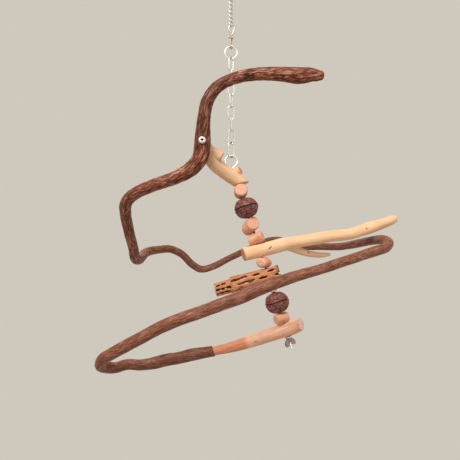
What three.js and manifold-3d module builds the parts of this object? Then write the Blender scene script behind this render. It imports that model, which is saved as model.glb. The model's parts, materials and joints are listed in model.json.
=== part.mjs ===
// Hanging bird play gym. A loose spiral of natural vine runs between two peeled sticks, which are strung with
// beads, walnuts and cholla wood on one straight steel rod. The rod's eye hangs on a chain.
// Millimetres, +Z up. The origin is the place inside the top ring where a hook carries it all.

import * as THREE from 'three';
import { mergeVertices } from 'three/addons/utils/BufferGeometryUtils.js';
import Module from 'manifold-3d';

const wasm = await Module();
wasm.setup();

// Clearances
const fitGap = 0.3; // between two pieces that touch
const pinGap = 0.15; // around a pin in its hole
const overrun = 1; // how far a cutter runs past the face that it opens

// Chain
const hangingRingWire = 2.4;
const hangingRingDiameter = 22;
const curbLinkCount = 7;
const curbWire = 1.7;
const curbLinkWidth = 7.2;
const curbLinkLength = 9.2;
const curbLinkTwist = THREE.MathUtils.degToRad(90);
const curbTurn = THREE.MathUtils.degToRad(-45); // turns the chain's lower wires towards the front
const ringWire = 1.9;
const ringDiameter = 18;
const linkWire = 1.5;
const linkWidth = 9.2;
const linkLength = 19.15;
const linkTurns = [45, 100, 0, 70, 0, 90, 0].map(THREE.MathUtils.degToRad);
const connectorWire = 1.9;
const connectorWidth = 11.4;
const connectorLength = 22;
const connectorTurn = THREE.MathUtils.degToRad(45);

// Trigger clasp
const claspTurn = THREE.MathUtils.degToRad(68);
const claspLoopWidth = 7.8;
const claspLoopHeight = 13.1;
const claspLoopWire = 2;
const swivelPostDiameter = 2.2;
const swivelHeadDiameter = 3.4;
const swivelHeadThickness = 0.9;
const claspBarrelDiameter = 6.2;
const claspBarrelHeight = 3.2;
const claspHookWidth = 7.2; // between the middles of its two sides
const claspHookDrop = 14.4; // from the barrel's middle to the middle of the hook's bottom
const claspHookWire = 2.6;
const gateEyeDiameter = 3;
const gateThickness = 1.6;
const gateCheekThickness = 0.8;
const gatePinDiameter = 1.2;
const gateKnobDiameter = 2.4;

// Rod with its bent eye
const rodDiameter = 3.2;
const rodEyeDiameter = 18.8;
const rodEyeWire = 2.8;
const rodEndLength = 2.5; // past the wing nut
const rodTiltSideways = THREE.MathUtils.degToRad(-17.6);
const rodTiltForwards = THREE.MathUtils.degToRad(-7.5);

// Beads: diameter across the grain and length along it, degrees that the grain turns about the rod from the
// right, degrees that it rises, and how far along the grain the middle lies from the rod. All but the degrees
// are shares of a stout bead's diameter and length.
const beadDiameter = 17.2;
const beadLength = 17;
const topBead = bead(0.727, 0.765, -25, 12, 0.153);
const beads = [
  bead(1, 0.853, -86, 8, 0.03),
  bead(1, 1, -58, 13, -0.206),
  bead(0.802, 1.088, -22, 5, 0),
  bead(0.71, 1, -122, 6, 0),
  bead(0.686, 0.706, -90, 0, 0),
  bead(0.71, 1, -152, 2, 0.059),
];
const beadEdge = 1.6; // rounding of a bead's rim
const twigStubDiameter = 6.4; // the side shoot on the lowest bead
const twigStubLength = 10.5;
const walnutHeight = 26.5;
const walnutLength = 30.5; // from point to point, across the rod
const walnutDepth = 28;
const chollaDiameter = 19;
const chollaBore = 11.5;
const chollaLength = 84.5;
const chollaOverhang = 15.5; // from the rod to the piece's right end
const chollaTilt = THREE.MathUtils.degToRad(2); // its bore runs a little askew
const chollaSlotRows = 7;
const chollaSlotLength = 11;
const chollaSlotWidth = 2.8;
const chollaSlotPitch = 16.4;
const perchDiameter = 17.4; // at the rod
const perchReach = 193; // from the rod to the tip
const twigReach = 92; // from the rod to the twig's tip
const bottomStickDiameter = 17; // at the rod
const washerDiameter = 9;
const washerThickness = 1;
const nutDiameter = 7.4;
const nutHeight = 5;
const nutWingSpan = 18.5;
const nutWingRise = 6; // of the wings below the nut's foot
const nutWingThickness = 1.7;
const nutTurn = THREE.MathUtils.degToRad(40);

// Top stick
const topStickDiameter = 18.5;
const topStickEnd = 32; // from the eye's centre down the rod to the stick's cut end

// Vine
const vineReach = 200;
const vineThickness = 20;
const screwHeadDiameter = 9.2;
const screwHeadHeight = 2.6;
const screwDiameter = 4;
const screwLength = 38;
const screwRecessWidth = 1.3;
const screwRecessLength = 4.8;
const dowelDiameter = 5;
const dowelLength = 32;

// Facets
const wireSides = 8;
const ringSteps = 20;
const linkEndPoints = 7;
const hookSteps = 16;
const pinSides = 8;
const headSides = 16;
const walnutSides = 20;
const walnutRings = 12;
const stickSides = 12;
const vineSides = 10;
const vineStepLength = 16;
const perchSteps = 18;
const twigSteps = 8;
const topStickSteps = 14;
const topStubSteps = 3;
const bottomStickSteps = 12;
const gateSteps = 4;
const boreSides = 12;

// Finishes
const stainless = { color: 0xc9c7c4, roughness: 0.25, metalness: 1 };
const bark = { color: 0x8a4a32, roughness: 0.7, metalness: 0 };
const peeledWood = { color: 0xe9c79c, roughness: 0.6, metalness: 0 };
const beadWood = { color: 0xebb393, roughness: 0.6, metalness: 0 };
const walnutShell = { color: 0x5a2f2c, roughness: 0.6, metalness: 0 };
const chollaWood = { color: 0xb98560, roughness: 0.8, metalness: 0 };

const group = new THREE.Group();

function vector(x, y, z) {
  return new THREE.Vector3(x, y, z);
}

function bead(diameterShare, lengthShare, turn, rise, shiftShare) {
  return {
    diameter: diameterShare * beadDiameter, length: lengthShare * beadLength, turn, rise,
    shift: shiftShare * beadLength,
  };
}

// Puts a named piece into the group that carries it.
function addPiece(parent, name, shape, finish) {
  const geometry = shape instanceof THREE.BufferGeometry ? shape : geometryOf(shape);
  const mesh = new THREE.Mesh(geometry, new THREE.MeshStandardMaterial(finish));
  mesh.name = name;
  parent.add(mesh);
  return mesh;
}

function addFrame(parent, name, position) {
  const frame = new THREE.Group();
  frame.name = name;
  frame.position.copy(position);
  parent.add(frame);
  return frame;
}

function bareGeometry(geometry) {
  geometry.deleteAttribute('normal');
  geometry.deleteAttribute('uv');
  return geometry;
}

function solidOf(geometry) {
  const merged = mergeVertices(bareGeometry(geometry.clone()));
  return new wasm.Manifold(new wasm.Mesh({
    numProp: 3,
    vertProperties: Float32Array.from(merged.attributes.position.array),
    triVerts: Uint32Array.from(merged.index.array),
  }));
}

function geometryOf(solid) {
  const mesh = solid.getMesh();
  const geometry = new THREE.BufferGeometry();
  geometry.setAttribute('position', new THREE.BufferAttribute(mesh.vertProperties, 3));
  geometry.setIndex(new THREE.BufferAttribute(mesh.triVerts, 1));
  return geometry;
}

function placed(geometry, matrix) {
  return geometry.clone().applyMatrix4(matrix);
}

// A round bar between two points.
function bar(start, end, diameter, sides, endDiameter = diameter) {
  const along = end.clone().sub(start);
  const geometry = new THREE.CylinderGeometry(endDiameter / 2, diameter / 2, along.length(), sides);
  const turn = new THREE.Quaternion().setFromUnitVectors(vector(0, 1, 0), along.clone().normalize());
  const middle = start.clone().lerp(end, 0.5);
  return placed(geometry, new THREE.Matrix4().compose(middle, turn, vector(1, 1, 1)));
}

function block(low, high) {
  const size = high.clone().sub(low);
  const middle = low.clone().lerp(high, 0.5);
  return new THREE.BoxGeometry(size.x, size.y, size.z).translate(middle.x, middle.y, middle.z);
}

// Reads a list of values at a share of its length, easing from each value to the next.
function valueAt(values, share) {
  const place = share * (values.length - 1);
  const index = Math.min(Math.floor(place), values.length - 2);
  return THREE.MathUtils.lerp(values[index], values[index + 1], place - index);
}

// Joins rings of points, which all have as many sides, into a tube: closed on itself, or with flat ends.
function tubeOfRings(rings, closed) {
  const sides = rings[0].length;
  const steps = closed ? rings.length : rings.length - 1;
  const points = rings.flat();
  const faces = [];
  for (let step = 0; step < steps; step += 1) {
    const next = (step + 1) % rings.length;
    for (let side = 0; side < sides; side += 1) {
      const nextSide = (side + 1) % sides;
      const [a, b] = [step * sides + side, step * sides + nextSide];
      const [c, d] = [next * sides + side, next * sides + nextSide];
      faces.push(a, b, c, b, d, c);
    }
  }
  if (!closed) {
    const first = points.length;
    for (const ring of [rings[0], rings[steps]]) {
      const middle = ring.reduce((sum, point) => sum.add(point), vector(0, 0, 0));
      points.push(middle.divideScalar(sides));
    }
    for (let side = 0; side < sides; side += 1) {
      const nextSide = (side + 1) % sides;
      faces.push(first, nextSide, side);
      faces.push(first + 1, steps * sides + side, steps * sides + nextSide);
    }
  }
  const geometry = new THREE.BufferGeometry();
  const numbers = points.flatMap((point) => point.toArray());
  geometry.setAttribute('position', new THREE.Float32BufferAttribute(numbers, 3));
  geometry.setIndex(faces);
  return geometry;
}

// A round ring of points about a middle, in the plane of two directions.
function roundRing(middle, right, up, radius, sides) {
  const ring = [];
  for (let side = 0; side < sides; side += 1) {
    const angle = (side / sides) * 2 * Math.PI;
    const point = middle.clone().addScaledVector(right, Math.cos(angle) * radius);
    ring.push(point.addScaledVector(up, Math.sin(angle) * radius));
  }
  return ring;
}

// A round section swept along a smooth curve: closed on itself, or with flat ends.
function sweptSection(points, diameters, sides, steps, closed = false) {
  const curve = new THREE.CatmullRomCurve3(points, closed, 'centripetal');
  const divisionsPerPoint = 20;
  curve.arcLengthDivisions = points.length * divisionsPerPoint;
  const frames = curve.computeFrenetFrames(steps, closed);
  const rings = [];
  for (let step = 0; step < (closed ? steps : steps + 1); step += 1) {
    const share = step / steps;
    const radius = valueAt(diameters, curve.getUtoTmapping(share)) / 2;
    rings.push(roundRing(curve.getPointAt(share), frames.normals[step], frames.binormals[step], radius, sides));
  }
  return tubeOfRings(rings, closed);
}

// A link with straight sides and round ends, hanging from its top wire at the origin. A twist turns its
// lower end.
function link(length, width, wire, twist = 0) {
  const radius = (width - wire) / 2;
  const halfStraight = (length - width) / 2;
  const points = [];
  const acrosses = [];
  for (const end of [1, -1]) {
    for (let index = 0; index < linkEndPoints; index += 1) {
      const angle = (index / (linkEndPoints - 1)) * Math.PI;
      const x = end * Math.cos(angle) * radius;
      const z = end * (Math.sin(angle) * radius + halfStraight);
      const turn = twist * (z / (length - wire));
      points.push(vector(x * Math.cos(turn), x * Math.sin(turn), z - halfStraight - radius));
      acrosses.push(vector(-Math.sin(turn), Math.cos(turn), 0));
    }
  }
  const rings = points.map((point, index) => {
    const next = points[(index + 1) % points.length];
    const last = points[(index + points.length - 1) % points.length];
    const along = next.clone().sub(last).normalize();
    const outwards = new THREE.Vector3().crossVectors(along, acrosses[index]).normalize();
    const across = new THREE.Vector3().crossVectors(outwards, along);
    return roundRing(point, across, outwards, wire / 2, wireSides);
  });
  return tubeOfRings(rings, true);
}

function torus(diameter, wire) {
  return new THREE.TorusGeometry((diameter - wire) / 2, wire / 2, pinSides, ringSteps).rotateX(Math.PI / 2);
}

// A frame whose origin is the middle of the wire that it hangs on. Its piece hangs in it, turned about the
// chain.
function hang(parent, name, wireAbove, wireBelow, dropToWire, turn) {
  const hinge = addFrame(parent, `${name}_hinge`, vector(0, 0, -dropToWire));
  const frame = addFrame(hinge, `${name}_frame`, vector(0, 0, (wireAbove + wireBelow) / 2 + fitGap));
  frame.rotation.z = turn;
  return frame;
}

// Chain, from the hook down

const hangingRingRadius = (hangingRingDiameter - hangingRingWire) / 2;
const hangingRingMiddle = vector(0, 0, hangingRingWire / 2 - hangingRingRadius);
const hangingRing = addFrame(group, 'hanging_ring_frame', hangingRingMiddle);
hangingRing.rotation.z = curbTurn - curbLinkTwist / 2;
addPiece(hangingRing, 'hanging_ring', torus(hangingRingDiameter, hangingRingWire), stainless);

let carrier = addFrame(hangingRing, 'curb_chain', vector(0, 0, 0));
let carrierWire = hangingRingWire;
let carrierDrop = hangingRingRadius;
for (let index = 1; index <= curbLinkCount; index += 1) {
  const name = `curb_link_${index}`;
  const turn = index === 1 ? curbLinkTwist / 2 : 0;
  carrier = hang(carrier, name, carrierWire, curbWire, carrierDrop, turn);
  addPiece(carrier, name, link(curbLinkLength, curbLinkWidth, curbWire, curbLinkTwist), stainless);
  carrierWire = curbWire;
  carrierDrop = curbLinkLength - curbWire;
}

// Swivel loop of the clasp: its outline leans to the right, and the chain bears near its upper left corner.
const claspLoopShares = [
  [0, 0], [0.34, 0.01], [0.56, 0.11], [0.56, 0.34], [0.38, 0.68], [0.12, 0.97],
  [-0.12, 0.97], [-0.33, 0.68], [-0.38, 0.36], [-0.26, 0.1],
];

function claspSwivelEye() {
  const line = claspLoopShares.map(([x, z]) => vector(x * claspLoopWidth, 0, -z * claspLoopHeight));
  const loop = sweptSection(line, [claspLoopWire, claspLoopWire], pinSides, hookSteps, true);
  const postTop = -claspLoopHeight;
  const postEnd = postTop - claspLoopWire / 2 - claspBarrelHeight - 2 * fitGap;
  const headEnd = postEnd - swivelHeadThickness;
  const post = bar(vector(0, 0, postTop), vector(0, 0, postEnd - overrun / 2), swivelPostDiameter, boreSides);
  const head = bar(vector(0, 0, postEnd), vector(0, 0, headEnd), swivelHeadDiameter, boreSides);
  return solidOf(loop).add(solidOf(post)).add(solidOf(head));
}

const loopTurn = -curbTurn; // square to the lowest curb link's lower end
carrier = hang(carrier, 'clasp_swivel_eye', curbWire, claspLoopWire, carrierDrop, loopTurn);
addPiece(carrier, 'clasp_swivel_eye', claspSwivelEye(), stainless);

// Hook: from the barrel down its right side, round the bottom and up to its tip, which the gate meets.
const hookShares = [
  [0.4, 0.04], [0.5, 0.2], [0.52, 0.45], [0.49, 0.76], [0.34, 0.95], [0, 1], [-0.34, 0.95], [-0.47, 0.78],
];
const gateSideShare = 0.47;
const gatePivotDropShare = 0.3;
const hookTipDropShare = 0.78;
const gatePivot = vector(-claspHookWidth * gateSideShare, 0, -claspBarrelHeight * gatePivotDropShare);
const gateTip = vector(gatePivot.x, 0, -claspHookDrop * hookTipDropShare + claspHookWire / 2 + 2 * fitGap);
const gateSlot = gateThickness + 2 * fitGap;

function claspBody() {
  const halfBarrel = claspBarrelHeight / 2;
  const line = hookShares.map(([x, z]) => vector(x * claspHookWidth, 0, -z * claspHookDrop));
  const hook = sweptSection(line, [claspHookWire, claspHookWire], pinSides, hookSteps);
  const barrel = bar(vector(0, 0, -halfBarrel), vector(0, 0, halfBarrel), claspBarrelDiameter, boreSides);
  const bore = bar(vector(0, 0, -halfBarrel - overrun), vector(0, 0, halfBarrel + overrun),
    swivelPostDiameter + 2 * fitGap, boreSides);
  const cheekDepth = gateSlot / 2 + gateCheekThickness;
  const cheekLow = gatePivot.z - gateEyeDiameter / 2;
  const lug = block(vector(gatePivot.x - gateEyeDiameter / 2, -cheekDepth, cheekLow),
    vector(0, cheekDepth, halfBarrel));
  const slot = block(vector(gatePivot.x - gateEyeDiameter, -gateSlot / 2, cheekLow - overrun),
    vector(gatePivot.x + gateEyeDiameter / 2 + fitGap, gateSlot / 2, halfBarrel + overrun));
  const headSpace = bar(vector(0, 0, -halfBarrel - claspBarrelHeight), vector(0, 0, -halfBarrel),
    swivelHeadDiameter + 2 * fitGap, boreSides);
  const pinHole = pinBar(gatePinDiameter + 2 * pinGap, cheekDepth + overrun);
  return solidOf(barrel).add(solidOf(lug)).subtract(solidOf(headSpace)).add(solidOf(hook))
    .subtract(solidOf(bore)).subtract(solidOf(slot)).subtract(solidOf(pinHole));
}

function pinBar(diameter, halfLength) {
  const end = vector(gatePivot.x, halfLength, gatePivot.z);
  return bar(vector(gatePivot.x, -halfLength, gatePivot.z), end, diameter, pinSides);
}

function claspGate() {
  const knobShares = [0.6, 0.75];
  const leverShares = [1, 1.1, 0.9];
  const thumbShare = 0.8;
  const knob = vector(gatePivot.x - gateKnobDiameter * knobShares[0], 0, claspBarrelHeight * knobShares[1]);
  const eye = pinBar(gateEyeDiameter, gateThickness / 2);
  const widths = leverShares.map((share) => share * gateThickness);
  const line = [gatePivot, gatePivot.clone().lerp(gateTip, 0.5), gateTip];
  const lever = sweptSection(line, widths, pinSides, gateSteps);
  const thumb = bar(gatePivot, knob, gateThickness * thumbShare, pinSides);
  const ball = new THREE.SphereGeometry(gateKnobDiameter / 2, pinSides, pinSides / 2);
  ball.translate(knob.x, knob.y, knob.z);
  const hole = pinBar(gatePinDiameter + 2 * pinGap, gateThickness);
  return solidOf(eye).add(solidOf(lever)).add(solidOf(thumb)).add(solidOf(ball)).subtract(solidOf(hole));
}

const barrelDrop = claspLoopHeight + claspLoopWire / 2 + fitGap + claspBarrelHeight / 2;
carrier = addFrame(carrier, 'clasp_body_frame', vector(0, 0, -barrelDrop));
carrier.rotation.z = claspTurn;
addPiece(carrier, 'clasp_body', claspBody(), stainless);
addPiece(carrier, 'clasp_gate', claspGate(), stainless);
addFrame(carrier, 'clasp_gate_hinge', gatePivot);
const pinLength = gateSlot / 2 + gateCheekThickness;
addPiece(carrier, 'clasp_gate_pin', pinBar(gatePinDiameter, pinLength), stainless);

carrier = hang(carrier, 'round_ring', claspHookWire, ringWire, claspHookDrop, -claspTurn);
const ringRadius = (ringDiameter - ringWire) / 2;
addPiece(carrier, 'round_ring', torus(ringDiameter, ringWire).translate(0, 0, -ringRadius), stainless);

carrierWire = ringWire;
carrierDrop = 2 * ringRadius;
let turnSoFar = 0;
linkTurns.forEach((turn, index) => {
  const name = `chain_link_${index + 1}`;
  carrier = hang(carrier, name, carrierWire, linkWire, carrierDrop, turn - turnSoFar);
  addPiece(carrier, name, link(linkLength, linkWidth, linkWire), stainless);
  carrierWire = linkWire;
  carrierDrop = linkLength - linkWire;
  turnSoFar = turn;
});

carrier = hang(carrier, 'connector_link', linkWire, connectorWire, carrierDrop, connectorTurn - turnSoFar);
addPiece(carrier, 'connector_link', link(connectorLength, connectorWidth, connectorWire), stainless);

// The gym's own frame: the origin is the middle of the rod's eye, and the rod runs down along -Z.

const eyeRadius = (rodEyeDiameter - rodEyeWire) / 2;
carrier = hang(carrier, 'gym', connectorWire, rodEyeWire, connectorLength - connectorWire, -connectorTurn);
const gymTilt = addFrame(carrier, 'gym_tilt', vector(0, 0, 0));
gymTilt.rotation.x = rodTiltForwards;
const gym = addFrame(gymTilt, 'rod_eye', vector(0, 0, -eyeRadius));
gym.rotation.y = rodTiltSideways;

// Places on the rod, as distances below the eye's centre
const eyeFoot = rodEyeDiameter / 2;
const topBeadPlace = eyeFoot + fitGap + topBead.diameter / 2;
const chollaHeight = chollaDiameter + beads[3].length * Math.sin(chollaTilt);
const places = {};
let level = topStickEnd;
function stack(name, height) {
  places[name] = level + fitGap + height / 2;
  level += fitGap + height;
}
stack('bead_1', beadHeight(beads[0]));
stack('walnut_1', walnutHeight);
stack('bead_2', beadHeight(beads[1]));
stack('bead_3', beadHeight(beads[2]));
stack('forked_perch', perchDiameter);
stack('bead_4', beadHeight(beads[3]));
stack('cholla_piece', chollaHeight);
stack('bead_5', beadHeight(beads[4]));
stack('walnut_2', walnutHeight);
stack('bead_6', beadHeight(beads[5]));
stack('bottom_stick', bottomStickDiameter);
stack('rod_washer', washerThickness);
stack('wing_nut', nutHeight);
const rodEnd = level + nutWingRise + rodEndLength;
const stackDrop = places.bottom_stick;

// A tilted bead takes more of the rod than its diameter.
function beadHeight(bead) {
  const rise = THREE.MathUtils.degToRad(bead.rise);
  return bead.diameter * Math.cos(rise) + (bead.length - 2 * beadEdge) * Math.sin(rise);
}

function rodBore(low, high) {
  const diameter = rodDiameter + 2 * fitGap;
  return solidOf(bar(vector(0, 0, -low), vector(0, 0, -high), diameter, boreSides));
}

// Threaded rod: a teardrop eye bent from the rod's own wire, and the straight shank.
function threadedRod() {
  const arcEnd = THREE.MathUtils.degToRad(120);
  const arcPoints = 13;
  const line = [];
  for (let index = 0; index < arcPoints; index += 1) {
    const angle = arcEnd * (1 - (2 * index) / (arcPoints - 1));
    line.push(vector(Math.sin(angle) * eyeRadius, 0, Math.cos(angle) * eyeRadius));
  }
  const footShare = 0.22;
  line.push(vector(-footShare * eyeRadius, 0, -eyeRadius), vector(footShare * eyeRadius, 0, -eyeRadius));
  const eye = sweptSection(line, [rodEyeWire, rodEyeWire], pinSides, ringSteps, true);
  const shank = bar(vector(0, 0, -eyeRadius), vector(0, 0, -rodEnd), rodDiameter, boreSides);
  return solidOf(eye).add(solidOf(shank));
}

addPiece(gym, 'threaded_rod', threadedRod(), stainless);

// A bead is a short length of peeled branch with softened rims, bored across for the rod.
function beadBody(bead) {
  const half = bead.length / 2;
  const radius = bead.diameter / 2;
  const rimShares = [[1, 0], [0.3, 0.5], [0, 1.6]];
  const rim = rimShares.map(([inwards, along]) => [radius - beadEdge * inwards, half - beadEdge * along]);
  const lowRim = rim.map(([x, y]) => [x, -y]);
  const profile = [[0, -half], ...lowRim, ...rim.reverse(), [0, half]];
  return new THREE.LatheGeometry(profile.map(([x, y]) => new THREE.Vector2(x, y)), stickSides);
}

function beadTurn(bead) {
  const turn = THREE.MathUtils.degToRad(bead.turn);
  const rise = THREE.MathUtils.degToRad(bead.rise);
  const grain = vector(Math.cos(turn) * Math.cos(rise), Math.sin(turn) * Math.cos(rise), Math.sin(rise));
  return new THREE.Quaternion().setFromUnitVectors(vector(0, 1, 0), grain);
}

function beadMatrix(bead, place) {
  const turn = beadTurn(bead);
  const middle = vector(0, bead.shift, 0).applyQuaternion(turn);
  middle.z = -place;
  return new THREE.Matrix4().compose(middle, turn, vector(1, 1, 1));
}

function beadSolid(bead, place) {
  const body = solidOf(placed(beadBody(bead), beadMatrix(bead, place)));
  return body.subtract(rodBore(place - bead.length, place + bead.length));
}

[0, 1, 2, 3, 4].forEach((index) => {
  const name = `bead_${index + 1}`;
  addPiece(gym, name, beadSolid(beads[index], places[name]), beadWood);
});

// The lowest bead keeps the stub of a side shoot.
function forkedBead() {
  const bead = beads[5];
  const rootShare = 0.2;
  const tipShare = 0.3;
  const flareShare = 1.25;
  const root = vector(0, -bead.length * rootShare, 0);
  const tip = vector(twigStubLength, -bead.length * tipShare, 0);
  const stub = bar(root, tip, twigStubDiameter * flareShare, stickSides, twigStubDiameter);
  const matrix = beadMatrix(bead, places.bead_6);
  const body = solidOf(placed(beadBody(bead), matrix)).add(solidOf(placed(stub, matrix)));
  return body.subtract(rodBore(places.bead_6 - bead.diameter, places.bead_6 + bead.diameter));
}

addPiece(gym, 'bead_6', forkedBead(), beadWood);

// Walnut: two bulging halves that meet in a raised seam and run out to a point at each end.
function walnut(place, turn) {
  const ball = new THREE.SphereGeometry(1, walnutSides, walnutRings).rotateZ(Math.PI / 2);
  const geometry = mergeVertices(bareGeometry(ball));
  const position = geometry.attributes.position;
  const seamShare = 0.05;
  const seamWidthShare = 0.16;
  const pointShare = 0.12;
  const bulgeShare = 0.94;
  for (let index = 0; index < position.count; index += 1) {
    const point = new THREE.Vector3().fromBufferAttribute(position, index);
    const seam = Math.exp(-((point.z / seamWidthShare) ** 2)) * seamShare;
    const pointed = Math.abs(point.x) ** 8 * pointShare;
    point.multiplyScalar(bulgeShare + seam);
    point.x *= 1 + pointed;
    point.multiply(vector(walnutLength, walnutDepth, walnutHeight / bulgeShare)).divideScalar(2);
    position.setXYZ(index, point.x, point.y, point.z);
  }
  const body = solidOf(geometry.rotateZ(turn).translate(0, 0, -place));
  return body.subtract(rodBore(place - walnutHeight, place + walnutHeight));
}

addPiece(gym, 'walnut_1', walnut(places.walnut_1, THREE.MathUtils.degToRad(-8)), walnutShell);
addPiece(gym, 'walnut_2', walnut(places.walnut_2, THREE.MathUtils.degToRad(18)), walnutShell);

// Points given as shares of a reach, a breadth and a height, with the diameter as a share of the piece's own.
function routePoints(rows, reach, height) {
  return rows.map(([x, y, z]) => vector(x * reach, y * reach, z * height));
}

function routeDiameters(rows, diameter) {
  return rows.map((row) => row[3] * diameter);
}

function routeSolid(rows, reach, height, diameter, sides, steps) {
  const widths = routeDiameters(rows, diameter);
  return solidOf(sweptSection(routePoints(rows, reach, height), widths, sides, steps));
}

// Forked perch: x and y as shares of its reach, z as a share of the reach above the place on the rod.
const perchRouteShares = [
  [-0.114, -0.027, 0.008, 0.97], [0, 0, 0, 1], [0.075, 0.016, -0.002, 1], [0.176, 0.036, -0.004, 0.98],
  [0.285, 0.062, -0.018, 0.9], [0.425, 0.088, -0.034, 0.9], [0.555, 0.119, -0.055, 0.89],
  [0.632, 0.13, -0.068, 0.86], [0.725, 0.15, -0.068, 0.88], [0.775, 0.156, -0.067, 0.96],
  [0.86, 0.176, -0.067, 0.83], [0.95, 0.19, -0.063, 0.76], [0.985, 0.197, -0.06, 0.7], [1, 0.2, -0.06, 0.5],
];
const twigRouteShares = [
  [0.2, 0.05, -0.004, 0.62], [0.34, 0.087, -0.022, 0.62], [0.54, 0.21, -0.15, 0.54],
  [0.69, 0.3, -0.235, 0.47],
  [0.85, 0.38, -0.3, 0.42], [0.96, 0.42, -0.325, 0.36], [1, 0.435, -0.335, 0.22],
];

function forkedPerch() {
  const main = routeSolid(perchRouteShares, perchReach, perchReach, perchDiameter, stickSides, perchSteps);
  const twig = routeSolid(twigRouteShares, twigReach, twigReach, perchDiameter, vineSides, twigSteps);
  const body = main.add(twig).translate(0, 0, -places.forked_perch);
  return body.subtract(rodBore(places.forked_perch - perchDiameter, places.forked_perch + perchDiameter));
}

addPiece(gym, 'forked_perch', forkedPerch(), peeledWood);

// Cholla: a hollow wooden skeleton whose wall is pierced by staggered rows of long holes. The part beyond the
// last joint is thinner.
function chollaPiece() {
  const outer = chollaDiameter / 2;
  const inner = chollaBore / 2;
  const left = chollaOverhang - chollaLength;
  const jointShare = 0.27;
  const joint = left + chollaLength * jointShare;
  const stepShare = 0.05;
  const thinShare = 0.86;
  const endShare = 0.82;
  const swellShare = 1.04;
  const stepLength = chollaLength * stepShare;
  const profile = [
    [inner * thinShare, left], [outer * endShare, left], [outer * thinShare, joint - stepLength],
    [outer * swellShare, joint], [outer, joint + stepLength], [outer, chollaOverhang], [inner, chollaOverhang],
    [inner, joint], [inner * thinShare, left],
  ].map(([x, y]) => new THREE.Vector2(x, y));
  let body = solidOf(new THREE.LatheGeometry(profile, chollaSlotRows * 2).rotateZ(-Math.PI / 2));
  const firstSlotShare = 0.45;
  const lastSlotShare = 0.3;
  const slotShares = [[1, 0], [0.6, 1], [-0.6, 1], [-1, 0], [-0.6, -1], [0.6, -1]];
  const slotShape = new THREE.Shape(slotShares.map(([x, y]) => (
    new THREE.Vector2(x * chollaSlotLength / 2, y * chollaSlotWidth / 2))));
  const slotOptions = { depth: outer + overrun, bevelEnabled: false };
  const slotCutter = new THREE.ExtrudeGeometry(slotShape, slotOptions);
  for (let row = 0; row < chollaSlotRows; row += 1) {
    const lastRow = row === chollaSlotRows - 1;
    const stagger = ((row % 2) / 2 + (lastRow ? 1 / 4 : 0)) * chollaSlotPitch;
    const first = left + chollaSlotPitch * firstSlotShare + stagger;
    const turn = (row / chollaSlotRows) * 2 * Math.PI;
    for (let x = first; x < chollaOverhang - chollaSlotLength * lastSlotShare; x += chollaSlotPitch) {
      body = body.subtract(solidOf(slotCutter.clone().translate(x, 0, 0).rotateX(turn)));
    }
  }
  return geometryOf(body).rotateY(chollaTilt).translate(0, 0, -places.cholla_piece);
}

function boredCholla() {
  const bore = rodBore(places.cholla_piece - chollaDiameter, places.cholla_piece + chollaDiameter);
  return solidOf(chollaPiece()).subtract(bore);
}

addPiece(gym, 'cholla_piece', boredCholla(), chollaWood);

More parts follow.
